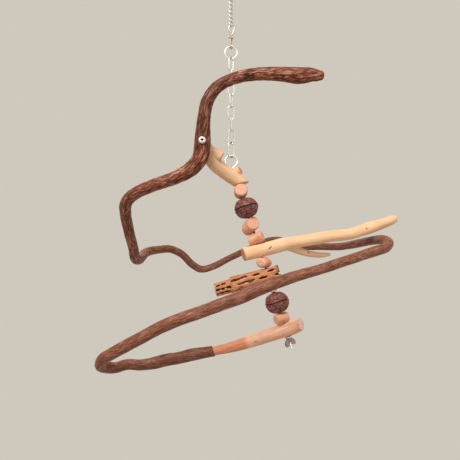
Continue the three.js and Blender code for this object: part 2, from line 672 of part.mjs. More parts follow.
// Vine: x and y as shares of its reach, z as a share of the drop from the eye to the bottom stick, and
// its thickness.
const vineRouteShares = [
  [0.645, -0.375, 0.2, 0.291], [0.635, -0.37, 0.205, 0.544], [0.61, -0.365, 0.215, 0.7],
  [0.57, -0.36, 0.235, 0.828], [0.5, -0.345, 0.26, 0.958], [0.42, -0.335, 0.29, 0.844],
  [0.31, -0.325, 0.325, 0.749], [0.21, -0.32, 0.345, 0.703], [0.12, -0.31, 0.35, 0.686],
  [0.03, -0.3, 0.335, 0.709], [-0.045, -0.285, 0.285, 0.752], [-0.095, -0.265, 0.21, 0.783],
  [-0.13, -0.24, 0.135, 0.905], [-0.155, -0.225, 0.075, 1.007], [-0.19, -0.205, 0.02, 0.978],
  [-0.265, -0.19, -0.02, 0.921], [-0.37, -0.17, -0.035, 0.813], [-0.465, -0.155, -0.035, 0.786],
  [-0.565, -0.135, -0.035, 0.779], [-0.655, -0.095, -0.04, 0.772], [-0.725, -0.025, -0.06, 0.764],
  [-0.76, 0.055, -0.11, 0.724], [-0.785, 0.15, -0.19, 0.694], [-0.805, 0.25, -0.27, 0.694],
  [-0.83, 0.355, -0.325, 0.737], [-0.83, 0.485, -0.33, 0.737], [-0.79, 0.65, -0.28, 0.704],
  [-0.715, 0.81, -0.268, 0.64], [-0.625, 0.93, -0.28, 0.627], [-0.555, 1.005, -0.335, 0.615],
  [-0.505, 1.055, -0.42, 0.624], [-0.445, 1.09, -0.478, 0.622], [-0.34, 1.1, -0.487, 0.579],
  [-0.18, 1.09, -0.465, 0.544], [-0.015, 1.065, -0.447, 0.54], [0.135, 1.03, -0.43, 0.537],
  [0.24, 0.985, -0.443, 0.534], [0.33, 0.925, -0.492, 0.542], [0.425, 0.83, -0.56, 0.549],
  [0.53, 0.71, -0.604, 0.556], [0.63, 0.57, -0.644, 0.564], [0.71, 0.43, -0.662, 0.591],
  [0.78, 0.275, -0.675, 0.608], [0.81, 0.14, -0.69, 0.617], [0.8, 0.02, -0.716, 0.656],
  [0.735, -0.075, -0.738, 0.638], [0.645, -0.145, -0.738, 0.621], [0.54, -0.205, -0.738, 0.585],
  [0.395, -0.275, -0.738, 0.589], [0.265, -0.33, -0.738, 0.573], [0.14, -0.365, -0.734, 0.596],
  [0.025, -0.395, -0.734, 0.649], [-0.09, -0.415, -0.738, 0.703], [-0.205, -0.425, -0.747, 0.717],
  [-0.325, -0.43, -0.752, 0.68], [-0.44, -0.43, -0.756, 0.673], [-0.58, -0.425, -0.76, 0.677],
  [-0.685, -0.415, -0.77, 0.67], [-0.79, -0.395, -0.787, 0.673], [-0.9, -0.36, -0.805, 0.676],
  [-0.98, -0.33, -0.819, 0.668], [-1.04, -0.295, -0.832, 0.659], [-1.075, -0.25, -0.859, 0.671],
  [-1.07, -0.205, -0.877, 0.66], [-1.03, -0.16, -0.899, 0.596], [-0.965, -0.13, -0.904, 0.626],
  [-0.895, -0.105, -0.93, 0.624], [-0.815, -0.085, -0.944, 0.715], [-0.745, -0.075, -0.949, 0.734],
  [-0.675, -0.06, -0.96, 0.711], [-0.6, -0.05, -0.966, 0.75], [-0.53, -0.045, -0.975, 0.686],
  [-0.465, -0.035, -0.985, 0.623],
];
const vinePoints = routePoints(vineRouteShares, vineReach, stackDrop);
const vineDiameters = routeDiameters(vineRouteShares, vineThickness);
const vineSteps = Math.round(new THREE.CatmullRomCurve3(vinePoints).getLength() / vineStepLength);
const jointShares = [-0.465, -0.035, -0.985]; // where the vine's cut end meets the bottom stick
const joint = routePoints([jointShares], vineReach, stackDrop)[0];

function vineTube(extra) {
  const widths = vineDiameters.map((diameter) => diameter + 2 * extra);
  return sweptSection(vinePoints, widths, vineSides, vineSteps);
}

// The screw stands square to the vine's thick bend and enters the top stick behind it.
const screwShares = [-0.148, -0.231, 0.09];
const screwPlace = routePoints([screwShares], vineReach, stackDrop)[0];
const screwSeatShare = 0.44;
const screwSeat = screwPlace.y - vineThickness * screwSeatShare;

function screwBar(diameter, front, back, sides) {
  const start = vector(screwPlace.x, front, screwPlace.z);
  return bar(start, vector(screwPlace.x, back, screwPlace.z), diameter, sides);
}

function screwShankSpace() {
  const back = screwSeat + screwLength + fitGap;
  return solidOf(screwBar(screwDiameter + 2 * fitGap, screwSeat - overrun, back, pinSides));
}

function vineScrew() {
  const radius = screwHeadDiameter / 2;
  const headShares = [[0, 0], [1, 0], [1, 0.25], [0.8, 0.75], [0.45, 1], [0, 1]];
  const profile = headShares.map(([x, y]) => new THREE.Vector2(x * radius, y * screwHeadHeight));
  const head = new THREE.LatheGeometry(profile, headSides).rotateX(Math.PI);
  head.translate(screwPlace.x, screwSeat, screwPlace.z);
  const recessShare = 0.6;
  const recessDepth = screwHeadHeight * recessShare;
  const shank = screwBar(screwDiameter, screwSeat - screwHeadHeight / 2, screwSeat + screwLength, pinSides);
  let body = solidOf(head).add(solidOf(shank));
  for (const turn of [0, Math.PI / 2]) {
    const arm = new THREE.BoxGeometry(screwRecessLength, 2 * recessDepth, screwRecessWidth).rotateY(turn);
    arm.translate(screwPlace.x, screwSeat - screwHeadHeight, screwPlace.z);
    body = body.subtract(solidOf(arm));
  }
  return body;
}

function dowelBar(diameter, length) {
  const reach = vector(length / 2, 0, 0);
  return bar(joint.clone().sub(reach), joint.clone().add(reach), diameter, pinSides);
}

function dowelSpace() {
  return solidOf(dowelBar(dowelDiameter + 2 * fitGap, dowelLength + 2 * fitGap));
}

function vineSolid() {
  const seatFront = screwSeat - vineThickness;
  const seatSpace = screwBar(screwHeadDiameter + 2 * fitGap, seatFront, screwSeat + fitGap, headSides);
  const beyondJoint = block(vector(joint.x, joint.y - vineThickness, joint.z - vineThickness),
    vector(joint.x + vineThickness, joint.y + vineThickness, joint.z + vineThickness));
  return solidOf(vineTube(0)).subtract(solidOf(seatSpace)).subtract(screwShankSpace())
    .subtract(solidOf(beyondJoint)).subtract(dowelSpace());
}

addPiece(gym, 'vine', vineSolid(), bark);
addPiece(gym, 'vine_screw', vineScrew(), stainless);
addPiece(gym, 'joint_dowel', solidOf(dowelBar(dowelDiameter, dowelLength)), peeledWood);

// Top stick: its trunk stands behind the vine's bend, and it bends down to the rod. x is a share of the
// screw's distance from the rod, y of the trunk's depth, and z runs from the cut end up to the screw.
const trunkDepth = screwPlace.y + (vineThickness + topStickDiameter) / 2;
const topStickShares = [
  [0.78, 1.12, 1.27, 0.9], [0.83, 1, 0.97, 1], [0.77, 0.7, 0.62, 1.02], [0.35, 0.27, 0.31, 0.98],
  [-0.02, 0, 0.09, 0.97], [-0.2, -0.13, -0.06, 0.95], [-0.4, -0.28, -0.24, 0.95],
];
const topStubShares = [[0.82, 0.95, 0.94, 0.62], [0.6, 0.93, 0.83, 0.62], [0.37, 0.9, 0.7, 0.6]];

function topStickRoute(rows) {
  const rise = screwPlace.z + topStickEnd;
  return rows.map(([x, y, z]) => vector(x * screwPlace.x, y * trunkDepth, z * rise - topStickEnd));
}

function topStickBody(extra) {
  const widths = (rows) => rows.map((row) => row[3] * topStickDiameter + 2 * extra);
  const main = sweptSection(topStickRoute(topStickShares), widths(topStickShares), stickSides, topStickSteps);
  const stub = sweptSection(topStickRoute(topStubShares), widths(topStubShares), vineSides, topStubSteps);
  return solidOf(main).add(solidOf(stub));
}

function topStick() {
  const below = block(vector(-vineReach, -vineReach, -stackDrop), vector(vineReach, vineReach, -topStickEnd));
  const cutStick = topStickBody(0).subtract(solidOf(vineTube(fitGap))).subtract(solidOf(below));
  return cutStick.subtract(screwShankSpace()).subtract(rodBore(-topStickDiameter, topStickEnd + overrun));
}

addPiece(gym, 'top_stick', topStick(), peeledWood);

// The top bead rests on the stick's slope, so its underside is cut to it.
addPiece(gym, 'top_bead', beadSolid(topBead, topBeadPlace).subtract(topStickBody(fitGap)), beadWood);

// Bottom stick: x is a share of the joint's distance from the rod, y and z run from the rod to the joint.
const bottomStickShares = [
  [1, 1, 1, 0.62], [0.8, 0.7, 0.4, 0.72], [0.54, 0.35, 0.1, 0.88], [0.34, 0, 0, 0.94], [0.1, 0, 0, 1],
  [-0.1, -0.2, 0, 1], [-0.19, -0.35, 0.25, 1], [-0.225, -0.4, 0.3, 0.95], [-0.24, -0.45, 0.3, 0.74],
];

function bottomStick() {
  const rise = joint.z + stackDrop;
  const line = bottomStickShares.map(([x, y, z]) => vector(x * joint.x, y * joint.y, z * rise - stackDrop));
  const widths = routeDiameters(bottomStickShares, bottomStickDiameter);
  const start = joint.x + fitGap;
  const beyondJoint = block(vector(start - vineThickness, joint.y - vineThickness, joint.z - vineThickness),
    vector(start, joint.y + vineThickness, joint.z + vineThickness));
  const stick = solidOf(sweptSection(line, widths, stickSides, bottomStickSteps));
  const bore = rodBore(stackDrop - bottomStickDiameter, stackDrop + bottomStickDiameter);
  return stick.subtract(solidOf(beyondJoint)).subtract(dowelSpace()).subtract(bore);
}

addPiece(gym, 'bottom_stick', bottomStick(), peeledWood);

// Washer and wing nut below the bottom stick
function tubeProfile(rows) {
  return rows.map(([radius, height]) => new THREE.Vector2(radius, height));
}

function rodWasher() {
  const inner = rodDiameter / 2 + fitGap;
  const outer = washerDiameter / 2;
  const half = washerThickness / 2;
  const profile = tubeProfile([[inner, -half], [outer, -half], [outer, half], [inner, half], [inner, -half]]);
  return new THREE.LatheGeometry(profile, headSides).rotateX(Math.PI / 2).translate(0, 0, -places.rod_washer);
}

addPiece(gym, 'rod_washer', rodWasher(), stainless);

// The wings spread outwards and away from the washer.
const wingShares = [
  [0.2, 0.25], [0.42, 0.15], [0.72, -0.35], [0.98, -0.72], [1, -0.92], [0.86, -1], [0.66, -0.9], [0.36, -0.4],
  [0.2, -0.3],
];

function wingNut() {
  const half = nutHeight / 2;
  const radius = nutDiameter / 2;
  const neckShare = 0.8;
  const profile = tubeProfile([[0, -half], [radius * neckShare, -half], [radius, half], [0, half]]);
  let body = solidOf(new THREE.LatheGeometry(profile, boreSides).rotateX(Math.PI / 2));
  const outline = wingShares.map(([x, y]) => new THREE.Vector2(x * nutWingSpan / 2, y * nutWingRise));
  const wingOptions = { depth: nutWingThickness, bevelEnabled: false };
  const wing = new THREE.ExtrudeGeometry(new THREE.Shape(outline), wingOptions);
  wing.translate(0, 0, -nutWingThickness / 2).rotateX(Math.PI / 2);
  for (const turn of [0, Math.PI]) {
    body = body.add(solidOf(wing.clone().rotateZ(turn)));
  }
  const bore = rodBore(places.wing_nut - nutHeight, places.wing_nut + nutHeight + nutWingRise);
  return body.translate(0, 0, -places.wing_nut).subtract(bore);
}

const nut = addPiece(gym, 'wing_nut', wingNut(), stainless);
nut.rotation.z = nutTurn;

export default group;
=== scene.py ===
# Hanging bird play gym: a spiral of vine between peeled sticks, strung with beads, walnuts and cholla wood on a
# steel rod that hangs on a chain. The scene is in metres, +Z up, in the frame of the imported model. The pieces are
# made in millimetres in the gym's own frame: its origin is the middle of the rod's eye, and the rod runs down
# along -Z.
import json
import math

import bmesh
import bpy
import numpy as np
from mathutils import Matrix, Vector, noise


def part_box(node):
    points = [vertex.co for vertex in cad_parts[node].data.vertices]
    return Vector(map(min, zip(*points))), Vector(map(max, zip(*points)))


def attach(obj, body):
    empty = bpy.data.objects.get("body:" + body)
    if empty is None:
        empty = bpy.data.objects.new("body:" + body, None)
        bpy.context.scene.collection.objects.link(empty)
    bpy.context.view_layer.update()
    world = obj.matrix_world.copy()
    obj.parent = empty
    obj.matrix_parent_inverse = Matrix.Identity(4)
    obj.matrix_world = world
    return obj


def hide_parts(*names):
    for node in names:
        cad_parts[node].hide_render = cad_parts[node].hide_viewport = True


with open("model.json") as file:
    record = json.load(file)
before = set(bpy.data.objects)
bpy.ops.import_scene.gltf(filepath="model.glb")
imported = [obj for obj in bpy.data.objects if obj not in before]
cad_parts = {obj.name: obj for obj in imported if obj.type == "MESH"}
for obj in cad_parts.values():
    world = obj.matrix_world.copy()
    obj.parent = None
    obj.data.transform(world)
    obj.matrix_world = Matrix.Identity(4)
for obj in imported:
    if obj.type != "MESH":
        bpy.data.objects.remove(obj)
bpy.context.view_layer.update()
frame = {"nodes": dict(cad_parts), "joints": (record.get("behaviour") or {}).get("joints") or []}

MM = 0.001
FIT_GAP = 0.3

# ---- sizes, in millimetres and degrees

ROD_DIAMETER = 3.2
ROD_EYE_DIAMETER = 18.8
ROD_EYE_WIRE = 2.8
ROD_END_LENGTH = 2.5
THREAD_PITCH = 0.7
THREAD_DEPTH = 0.22
THREAD_LENGTH = 24
BORE_DIAMETER = ROD_DIAMETER + 2 * FIT_GAP

# Rings and links: length, width and wire
HANGING_RING = (22, 22, 2.4)
ROUND_RING = (18, 18, 1.9)
CURB_LINK = (9.2, 7.2, 1.6)
CURB_TWIST = 90
CHAIN_LINK = (19.15, 9.2, 1.5)
CHAIN_TURNS = (45, 100, 0, 70, 0, 90, 0)
CONNECTOR = (22, 11.4, 1.9)
CONNECTOR_TURN = 45
CLASP_MELT = (0.16, 4)

BEAD_DIAMETER = 17.2
BEAD_LENGTH = 17
BEAD_EDGE = 1.6
# Diameter and length as shares of a stout bead's; how much the grain turns about the rod and rises; how far along
# the grain the middle lies from the rod, as a share of a stout bead's length; how soft the sawn rims are; the
# girth across, along and above the grain; and the knots: place, size, darkness and dip
BEADS = {
    "top_bead": (0.727, 0.765, -25, 12, 0.153, 3.4, (1.06, 1.06, 1), (((4, -5.5, 3), 1.5, 0.5, 0.5),)),
    "bead_1": (1, 0.853, -86, 8, 0.03, 2.2, (1, 1, 1), ()),
    "bead_2": (1, 1, -58, 13, -0.206, 2, (1.19, 1.08, 0.98), (((-1.5, -9, 5.5), 2.4, 0.5, 1),)),
    "bead_3": (0.802, 1.088, -22, 5, 0, 1.8, (1.05, 1.05, 0.98), ()),
    "bead_4": (0.71, 1, -122, 6, 0, 4, (1.25, 1.1, 1.05), ()),
    "bead_5": (0.686, 0.706, -90, 0, 0, 1.8, (1, 1, 1), ()),
    "bead_6": (0.71, 1, -152, 2, 0.059, 1.8, (1.1, 1.05, 1.04), ()),
}
STUB_DIAMETER = 6.4
STUB_LENGTH = 10.5
PITH_DEPTH = 2.6
WALNUT_SIZE = (30.5, 28, 26.5)
# Turn about the rod, and seed of the wrinkles
WALNUTS = {"walnut_1": (-8, 31), "walnut_2": (18, 47)}

CHOLLA_DIAMETER = 19
CHOLLA_BORE = 11.5
CHOLLA_LENGTH = 84.5
CHOLLA_OVERHANG = 15.5
CHOLLA_LEFT = CHOLLA_OVERHANG - CHOLLA_LENGTH
CHOLLA_JOINT = CHOLLA_LEFT + 0.27 * CHOLLA_LENGTH
CHOLLA_TILT = math.radians(2)
CHOLLA_GRID = (140, 190)
CHOLLA_ROWS = 9
# The long holes: length, width and pitch; where the first row is, how far its first hole lies from the right
# end, and the share of the pitch that each row climbs
CHOLLA_SLOT = (11.5, 2.7, 20)
CHOLLA_START = (105, 10.3, 0.385)
# The knot hole: distance to the right of the joint, angle, half length and half width
KNOT_HOLE = (8.5, 222, 3.6, 2.9)
CHOLLA_SKIN_RADIUS = 8.6

PERCH_DIAMETER = 17.4
PERCH_REACH = 193
TWIG_REACH = 92
BOTTOM_STICK_DIAMETER = 17
SAW_TRIM = 1.2
WASHER = (9, 1)
NUT_DIAMETER = 7.4
NUT_HEIGHT = 5
NUT_WING_SPAN = 18.5
NUT_WING_RISE = 6
NUT_WING_HALF = (3.5, 1.02, 4.9)
NUT_WING_LEAN = 50
NUT_TURN = 40
TOP_STICK_DIAMETER = 18.5
TOP_STICK_END = 32
VINE_REACH = 200
VINE_THICKNESS = 20
VINE_SIDES = 80
VINE_BED_GAP = 0.9
SCREW_HEAD_DIAMETER = 9.2
SCREW_HEAD_HEIGHT = 2.6
SCREW_DIAMETER = 4
SCREW_LENGTH = 38
SCREW_SEAT_SHARE = 0.44
SEAT_DEPTH = 0.1
RECESS = (6, 2.1, 2)
RECESS_TURN = 0.1
DOWEL_DIAMETER = 5
DOWEL_REACH = 16

# Rings that close the ends of a tube, as shares of its radius
CAP_SHARES = (0.05, 0.3, 0.55, 0.78, 0.92)
# How far apart the branches of one piece lie in its straightened grain
BRANCH_STEP = 400
# How many points are matched with a route at a time
BATCH = 4000


def bead_height(name):
    across, along, _, rise, *_ = BEADS[name]
    rise = math.radians(rise)
    return across * BEAD_DIAMETER * math.cos(rise) + (along * BEAD_LENGTH - 2 * BEAD_EDGE) * math.sin(rise)


# Middles of the pieces on the rod, as distances below the eye's middle
HEIGHTS = {
    "walnut_1": WALNUT_SIZE[2], "walnut_2": WALNUT_SIZE[2], "forked_perch": PERCH_DIAMETER,
    "cholla_piece": CHOLLA_DIAMETER + BEADS["bead_4"][1] * BEAD_LENGTH * math.sin(CHOLLA_TILT),
    "bottom_stick": BOTTOM_STICK_DIAMETER, "rod_washer": WASHER[1], "wing_nut": NUT_HEIGHT,
}
PLACES = {"top_bead": ROD_EYE_DIAMETER / 2 + FIT_GAP + BEADS["top_bead"][0] * BEAD_DIAMETER / 2}
level = TOP_STICK_END
for node in ("bead_1", "walnut_1", "bead_2", "bead_3", "forked_perch", "bead_4", "cholla_piece", "bead_5",
             "walnut_2", "bead_6", "bottom_stick", "rod_washer", "wing_nut"):
    height = HEIGHTS.get(node) or bead_height(node)
    PLACES[node] = level + FIT_GAP + height / 2
    level += FIT_GAP + height
ROD_END = level + NUT_WING_RISE + ROD_END_LENGTH
STACK_DROP = PLACES["bottom_stick"]

# The gym's own frame, from the hinge that the beads turn on
turn_joint = next(joint for joint in frame["joints"] if joint["name"] == "bead_1_turn")
rod_way = Vector(turn_joint["axis"])
tilt_sideways = -math.asin(rod_way.x)
tilt_forwards = math.asin(rod_way.y / math.cos(tilt_sideways))
GYM = (
    Matrix.Translation(turn_joint["pos_m"])
    @ Matrix.Rotation(tilt_forwards, 4, "X")
    @ Matrix.Rotation(tilt_sideways, 4, "Y")
    @ Matrix.Scale(MM, 4)
)

# Routes of the grown pieces, in thousandths: three for the place and one for the thickness
VINE_ROUTE = (
    (630, -371, 203.5, 440), (620, -369, 207.5, 600), (603, -365, 214.5, 700), (570, -360, 231, 790),
    (500, -345, 255.5, 900), (420, -335, 286.5, 830), (310, -325, 325, 749), (210, -320, 345, 703),
    (120, -310, 350, 686), (30, -300, 335, 709), (-45, -285, 285, 752), (-95, -265, 210, 783),
    (-130, -240, 135, 905), (-155, -225, 75, 1007), (-190, -205, 20, 978), (-265, -190, -20, 921),
    (-370, -170, -35, 813), (-465, -155, -35, 786), (-565, -135, -35, 779), (-655, -95, -40, 772),
    (-725, -25, -60, 764), (-760, 55, -110, 724), (-785, 150, -190, 694), (-805, 250, -270, 694),
    (-830, 355, -325, 737), (-830, 485, -330, 737), (-790, 650, -280, 704), (-715, 810, -268, 640),
    (-625, 930, -280, 627), (-555, 1005, -335, 615), (-505, 1055, -420, 624), (-445, 1090, -478, 622),
    (-340, 1100, -487, 579), (-180, 1090, -465, 544), (-15, 1065, -447, 540), (135, 1030, -430, 537),
    (240, 985, -443, 534), (330, 925, -492, 542), (425, 830, -560, 549), (530, 710, -604, 556),
    (630, 570, -644, 564), (710, 430, -662, 591), (780, 275, -675, 608), (810, 140, -690, 617),
    (800, 20, -716, 656), (735, -75, -738, 638), (645, -145, -738, 621), (540, -205, -738, 585),
    (395, -275, -738, 589), (265, -330, -738, 573), (140, -365, -734, 596), (25, -395, -734, 649),
    (-90, -415, -738, 703), (-205, -425, -747, 717), (-325, -430, -752, 680), (-440, -430, -756, 673),
    (-580, -425, -760, 677), (-685, -415, -770, 670), (-790, -395, -787, 673), (-900, -360, -805, 676),
    (-980, -330, -819, 668), (-1040, -295, -832, 659), (-1075, -250, -859, 671), (-1070, -205, -877, 660),
    (-1030, -160, -899, 596), (-965, -130, -904, 626), (-895, -105, -930, 624), (-815, -85, -944, 715),
    (-745, -75, -949, 734), (-675, -60, -960, 711), (-600, -50, -966, 750), (-530, -45, -975, 686),
    (-465, -35, -985, 623),
)
PERCH_ROUTE = (
    (-114, -27, 8, 970), (0, 0, 0, 1000), (75, 16, -2, 1000), (176, 36, -4, 980), (285, 62, -18, 900),
    (425, 88, -34, 900), (555, 119, -55, 890), (632, 130, -68, 860), (725, 150, -68, 880), (775, 156, -67, 960),
    (860, 176, -67, 830), (950, 190, -63, 760), (985, 197, -60, 700), (1000, 200, -60, 500),
)
TWIG_ROUTE = (
    (200, 50, -4, 620), (340, 87, -22, 620), (540, 210, -150, 540), (690, 300, -235, 470),
    (850, 380, -300, 420), (960, 420, -325, 360), (1000, 435, -335, 220),
)
TOP_STICK_ROUTE = (
    (1000, 1120, 1200, 700), (900, 1000, 970, 920), (770, 700, 620, 1020), (350, 270, 310, 980),
    (-20, 0, 90, 970), (-200, -130, -60, 950), (-400, -280, -240, 950),
)
TOP_STUB_ROUTE = (
    (850, 950, 910, 800), (620, 930, 785, 780), (400, 900, 655, 720),
)
BOTTOM_STICK_ROUTE = (
    (1000, 1000, 1000, 620), (800, 700, 400, 720), (540, 350, 100, 880), (340, 0, 0, 940), (100, 0, 0, 1000),
    (-100, -200, 0, 1000), (-190, -350, 250, 1000), (-225, -400, 300, 950), (-240, -450, 300, 740),
)


def scaled(rows, scale, drop=0):
    """A route in millimetres."""
    return np.array(rows) / 1000 * scale - (0, 0, drop, 0)


VINE_ROWS = scaled(VINE_ROUTE, (VINE_REACH, VINE_REACH, STACK_DROP, VINE_THICKNESS))
JOINT = VINE_ROWS[-1, :3]
SCREW_PLACE = np.array((-0.148 * VINE_REACH, -0.231 * VINE_REACH, 0.09 * STACK_DROP))
SCREW_SEAT = SCREW_PLACE[1] - VINE_THICKNESS * SCREW_SEAT_SHARE

# Marks in the wood. A knot is its distance along, angle, size, rise, dip and darkness. A split is its start, end,
# angle, lean, width, depth and darkness. A ring is its distance along, width, depth and darkness.
PERCH_MARKS = {
    "knots": ((35, 1.47, 7, 0.8, 0, 0), (58, 1.2, 4, 0.3, 0.15, 0.12), (171.4, 1.41, 1.7, 0.25, 0.4, 0.9),
              (BRANCH_STEP + 51.5, 1.36, 2.6, 0.5, 0.5, 0.8)),
    "splits": ((31.2, 36.2, 1.47, -0.05, 0.85, 0.7, 0.95),),
}
TOP_STICK_MARKS = {"knots": ((30, -1.4, 3, 0.3, 0, 0), (78, 1.05, 1.6, 0.2, 0.2, 0.3))}
BOTTOM_STICK_MARKS = {
    "knots": ((71.2, 6.07, 2.2, 0.4, 0.4, 0.9), (56.8, 1.57, 2, 0.3, 0.3, 0.8), (14.4, 0.47, 2.4, 0.3, 0.2, 0.3)),
    "splits": ((112, 121, 1.3, 0, 0.5, 0.4, 0.6),),
}
VINE_MARKS = {
    "knots": (
        (25, 6.07, 9, 1.7, 0, 0), (81.6, 1.94, 1.7, 0.4, 0.5, 0.7), (88.8, 1.41, 3.2, 0.9, 1.3, 1),
        (128.4, 2.09, 1.8, 0.4, 0.6, 0.9), (172.7, 2.3, 1.6, 0.3, 0.4, 0.8), (177.5, 1.68, 1.3, 0.3, 0.4, 0.7),
        (339.5, 0.63, 2.5, 0.8, 1.4, 1), (1194.8, 3.35, 4.2, 0.9, 1, 0.5), (1449, 0.68, 9, 0.9, 0, 0),
    ),
    "splits": ((341, 377, 0.6, 0, 0.8, 0.5, 0.6), (84, 96, 1.35, 0.05, 0.7, 0.5, 0.6)),
    "rings": ((1136, 0.5, 0.25, 0.45), (1139.5, 0.4, 0.15, 0.3), (8.5, 1.5, 0.35, 0.15)),
}
# How much darker the bark is painted, by the distance along the vine; the dark stretch from 95 to 215 mm is painted
# shade
VINE_SHADES = (
    (0, 0), (60, 0), (95, 0.05), (140, 0.42), (190, 0.36), (215, 0.05), (420, 0.03), (480, 0.16), (600, 0.25),
    (960, 0.2), (1010, 0), (1200, 0.04), (1440, 0.08), (1470, 0.24), (1575, 0.3),
)


# ---- small tools

def pick(piece):
    """Makes one piece the only selected and active one."""
    bpy.ops.object.select_all(action="DESELECT")
    piece.select_set(True)
    bpy.context.view_layer.objects.active = piece


def new_object(name, data):
    piece = bpy.data.objects.new(name, data)
    bpy.context.scene.collection.objects.link(piece)
    return piece


def mesh_piece(name, points, faces):
    mesh = bpy.data.meshes.new(name)
    mesh.from_pydata([tuple(point) for point in points], [], faces)
    return new_object(name, mesh)


def primitive(operator, name, **settings):
    """Adds a primitive shape, with its place, turn and size moved into its mesh."""
    operator(**settings)
    piece = bpy.context.active_object
    piece.name = piece.data.name = name
    piece.data.transform(piece.matrix_basis)
    piece.matrix_basis = Matrix.Identity(4)
    return piece


def bar(name, start, end, diameter, sides=32):
    start, end = Vector(start), Vector(end)
    return primitive(
        bpy.ops.mesh.primitive_cylinder_add, name, vertices=sides, radius=diameter / 2,
        depth=(end - start).length, location=(start + end) / 2,
        rotation=(end - start).to_track_quat("Z", "Y").to_euler(),
    )


def modify(piece, kind, **settings):
    """Adds a modifier with its settings and applies it."""
    pick(piece)
    modifier = piece.modifiers.new(kind.lower(), kind)
    for key, value in settings.items():
        setattr(modifier, key, value)
    bpy.ops.object.modifier_apply(modifier=modifier.name)
    return piece


def cut(piece, cutter):
    modify(piece, "BOOLEAN", object=cutter, operation="DIFFERENCE", solver="EXACT")
    bpy.data.objects.remove(cutter)
    return piece


def bore(piece, place, reach):
    """Drills the rod's bore, this far to both sides of a place on the rod."""
    return cut(piece, bar("bore", (0, 0, reach - place), (0, 0, -reach - place), BORE_DIAMETER))


def join(pieces):
    pick(pieces[0])
    for piece in pieces[1:]:
        piece.select_set(True)
    bpy.ops.object.join()
    return pieces[0]


def remesh(piece, voxel, smoothing):
    modify(piece, "REMESH", mode="VOXEL", voxel_size=voxel)
    return modify(piece, "SMOOTH", factor=0.5, iterations=smoothing)


def choose(piece, kind, test=None):
    """Opens a piece in edit mode with the points, edges or faces that pass a test chosen, or else with all."""
    pick(piece)
    bpy.ops.object.mode_set(mode="EDIT")
    bpy.ops.mesh.select_mode(type=kind)
    bpy.ops.mesh.select_all(action="DESELECT" if test else "SELECT")
    if test:
        shape = bmesh.from_edit_mesh(piece.data)
        for part in {"VERT": shape.verts, "EDGE": shape.edges, "FACE": shape.faces}[kind]:
            part.select_set(bool(test(part)))
        shape.select_flush_mode()
        bmesh.update_edit_mesh(piece.data)


def close_edit():
    bpy.ops.mesh.select_all(action="SELECT")
    bpy.ops.mesh.normals_make_consistent(inside=False)
    bpy.ops.object.mode_set(mode="OBJECT")


def saw(piece, place, way, softness, segments, clamp):
    """Saws a piece off at a plane and softens the rim of the cut."""
    choose(piece, "FACE")
    bpy.ops.mesh.bisect(plane_co=place, plane_no=way, clear_outer=True, use_fill=True)
    close_edit()
    choose(piece, "EDGE", lambda edge: (
        all(abs((point.co - place).dot(way)) < 0.01 for point in edge.verts)
        and len(edge.link_faces) == 2 and edge.calc_face_angle(0) > 0.4))
    bpy.ops.mesh.bevel(offset=softness, segments=segments, affect="EDGES", clamp_overlap=clamp)
    close_edit()


def points_of(piece):
    points = np.empty(len(piece.data.vertices) * 3)
    piece.data.vertices.foreach_get("co", points)
    return points.reshape(-1, 3)


def set_points(piece, points):
    piece.data.vertices.foreach_set("co", np.asarray(points, dtype=float).ravel())
    piece.data.update()


def normals_of(piece):
    normals = np.empty(len(piece.data.vertices) * 3)
    piece.data.vertex_normals.foreach_get("vector", normals)
    return normals.reshape(-1, 3)


def attribute(piece, name, values):
    """Stores a number or a vector for each point of the piece, which its material reads."""
    values = np.asarray(values, dtype=float)
    kind, key = ("FLOAT", "value") if values.ndim == 1 else ("FLOAT_VECTOR", "vector")
    layer = piece.data.attributes.get(name) or piece.data.attributes.new(name, kind, "POINT")
    layer.data.foreach_set(key, values.ravel())


def wave(points, seed):
    """Smooth noise from -1 to 1 at each point."""
    offset = Vector((seed * 17.3, seed * 5.9, seed * 11.1))
    return np.array([noise.noise(Vector(point) + offset) for point in points])


def skin_wave(angles, along, fineness, length, seed):
    """Noise on a stick's skin: finer or coarser round it, and of this length along it."""
    points = np.stack([np.cos(angles) * fineness, np.sin(angles) * fineness, along / length], axis=-1)
    return wave(points.reshape(-1, 3), seed).reshape(angles.shape)


def lengths(vectors):
    return np.linalg.norm(vectors, axis=-1)


def smooth_step(low, high, values):
    """Eases from 0 at low to 1 at high."""
    share = np.clip((values - low) / (high - low), 0, 1)
    return share * share * (3 - 2 * share)


def bell(values, width):
    """1 at zero, falling to either side."""
    return np.exp(-(values / width) ** 2)


def half_turn(angles):
    """Brings angles between minus and plus half a turn."""
    return (angles + math.pi) % (2 * math.pi) - math.pi


def paint(piece, material):
    piece.data.materials.clear()
    piece.data.materials.append(material)


def finish(piece, material, smooth=40, body=None, matrix=GYM):
    """Puts a finished piece in its place and on its body, instead of the node that it is named for."""
    node = piece.name.removesuffix("_form")
    piece.data.transform(matrix)
    paint(piece, material)
    pick(piece)
    bpy.ops.object.shade_smooth_by_angle(angle=math.radians(smooth))
    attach(piece, body or node)
    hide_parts(node)


# ---- grown wood

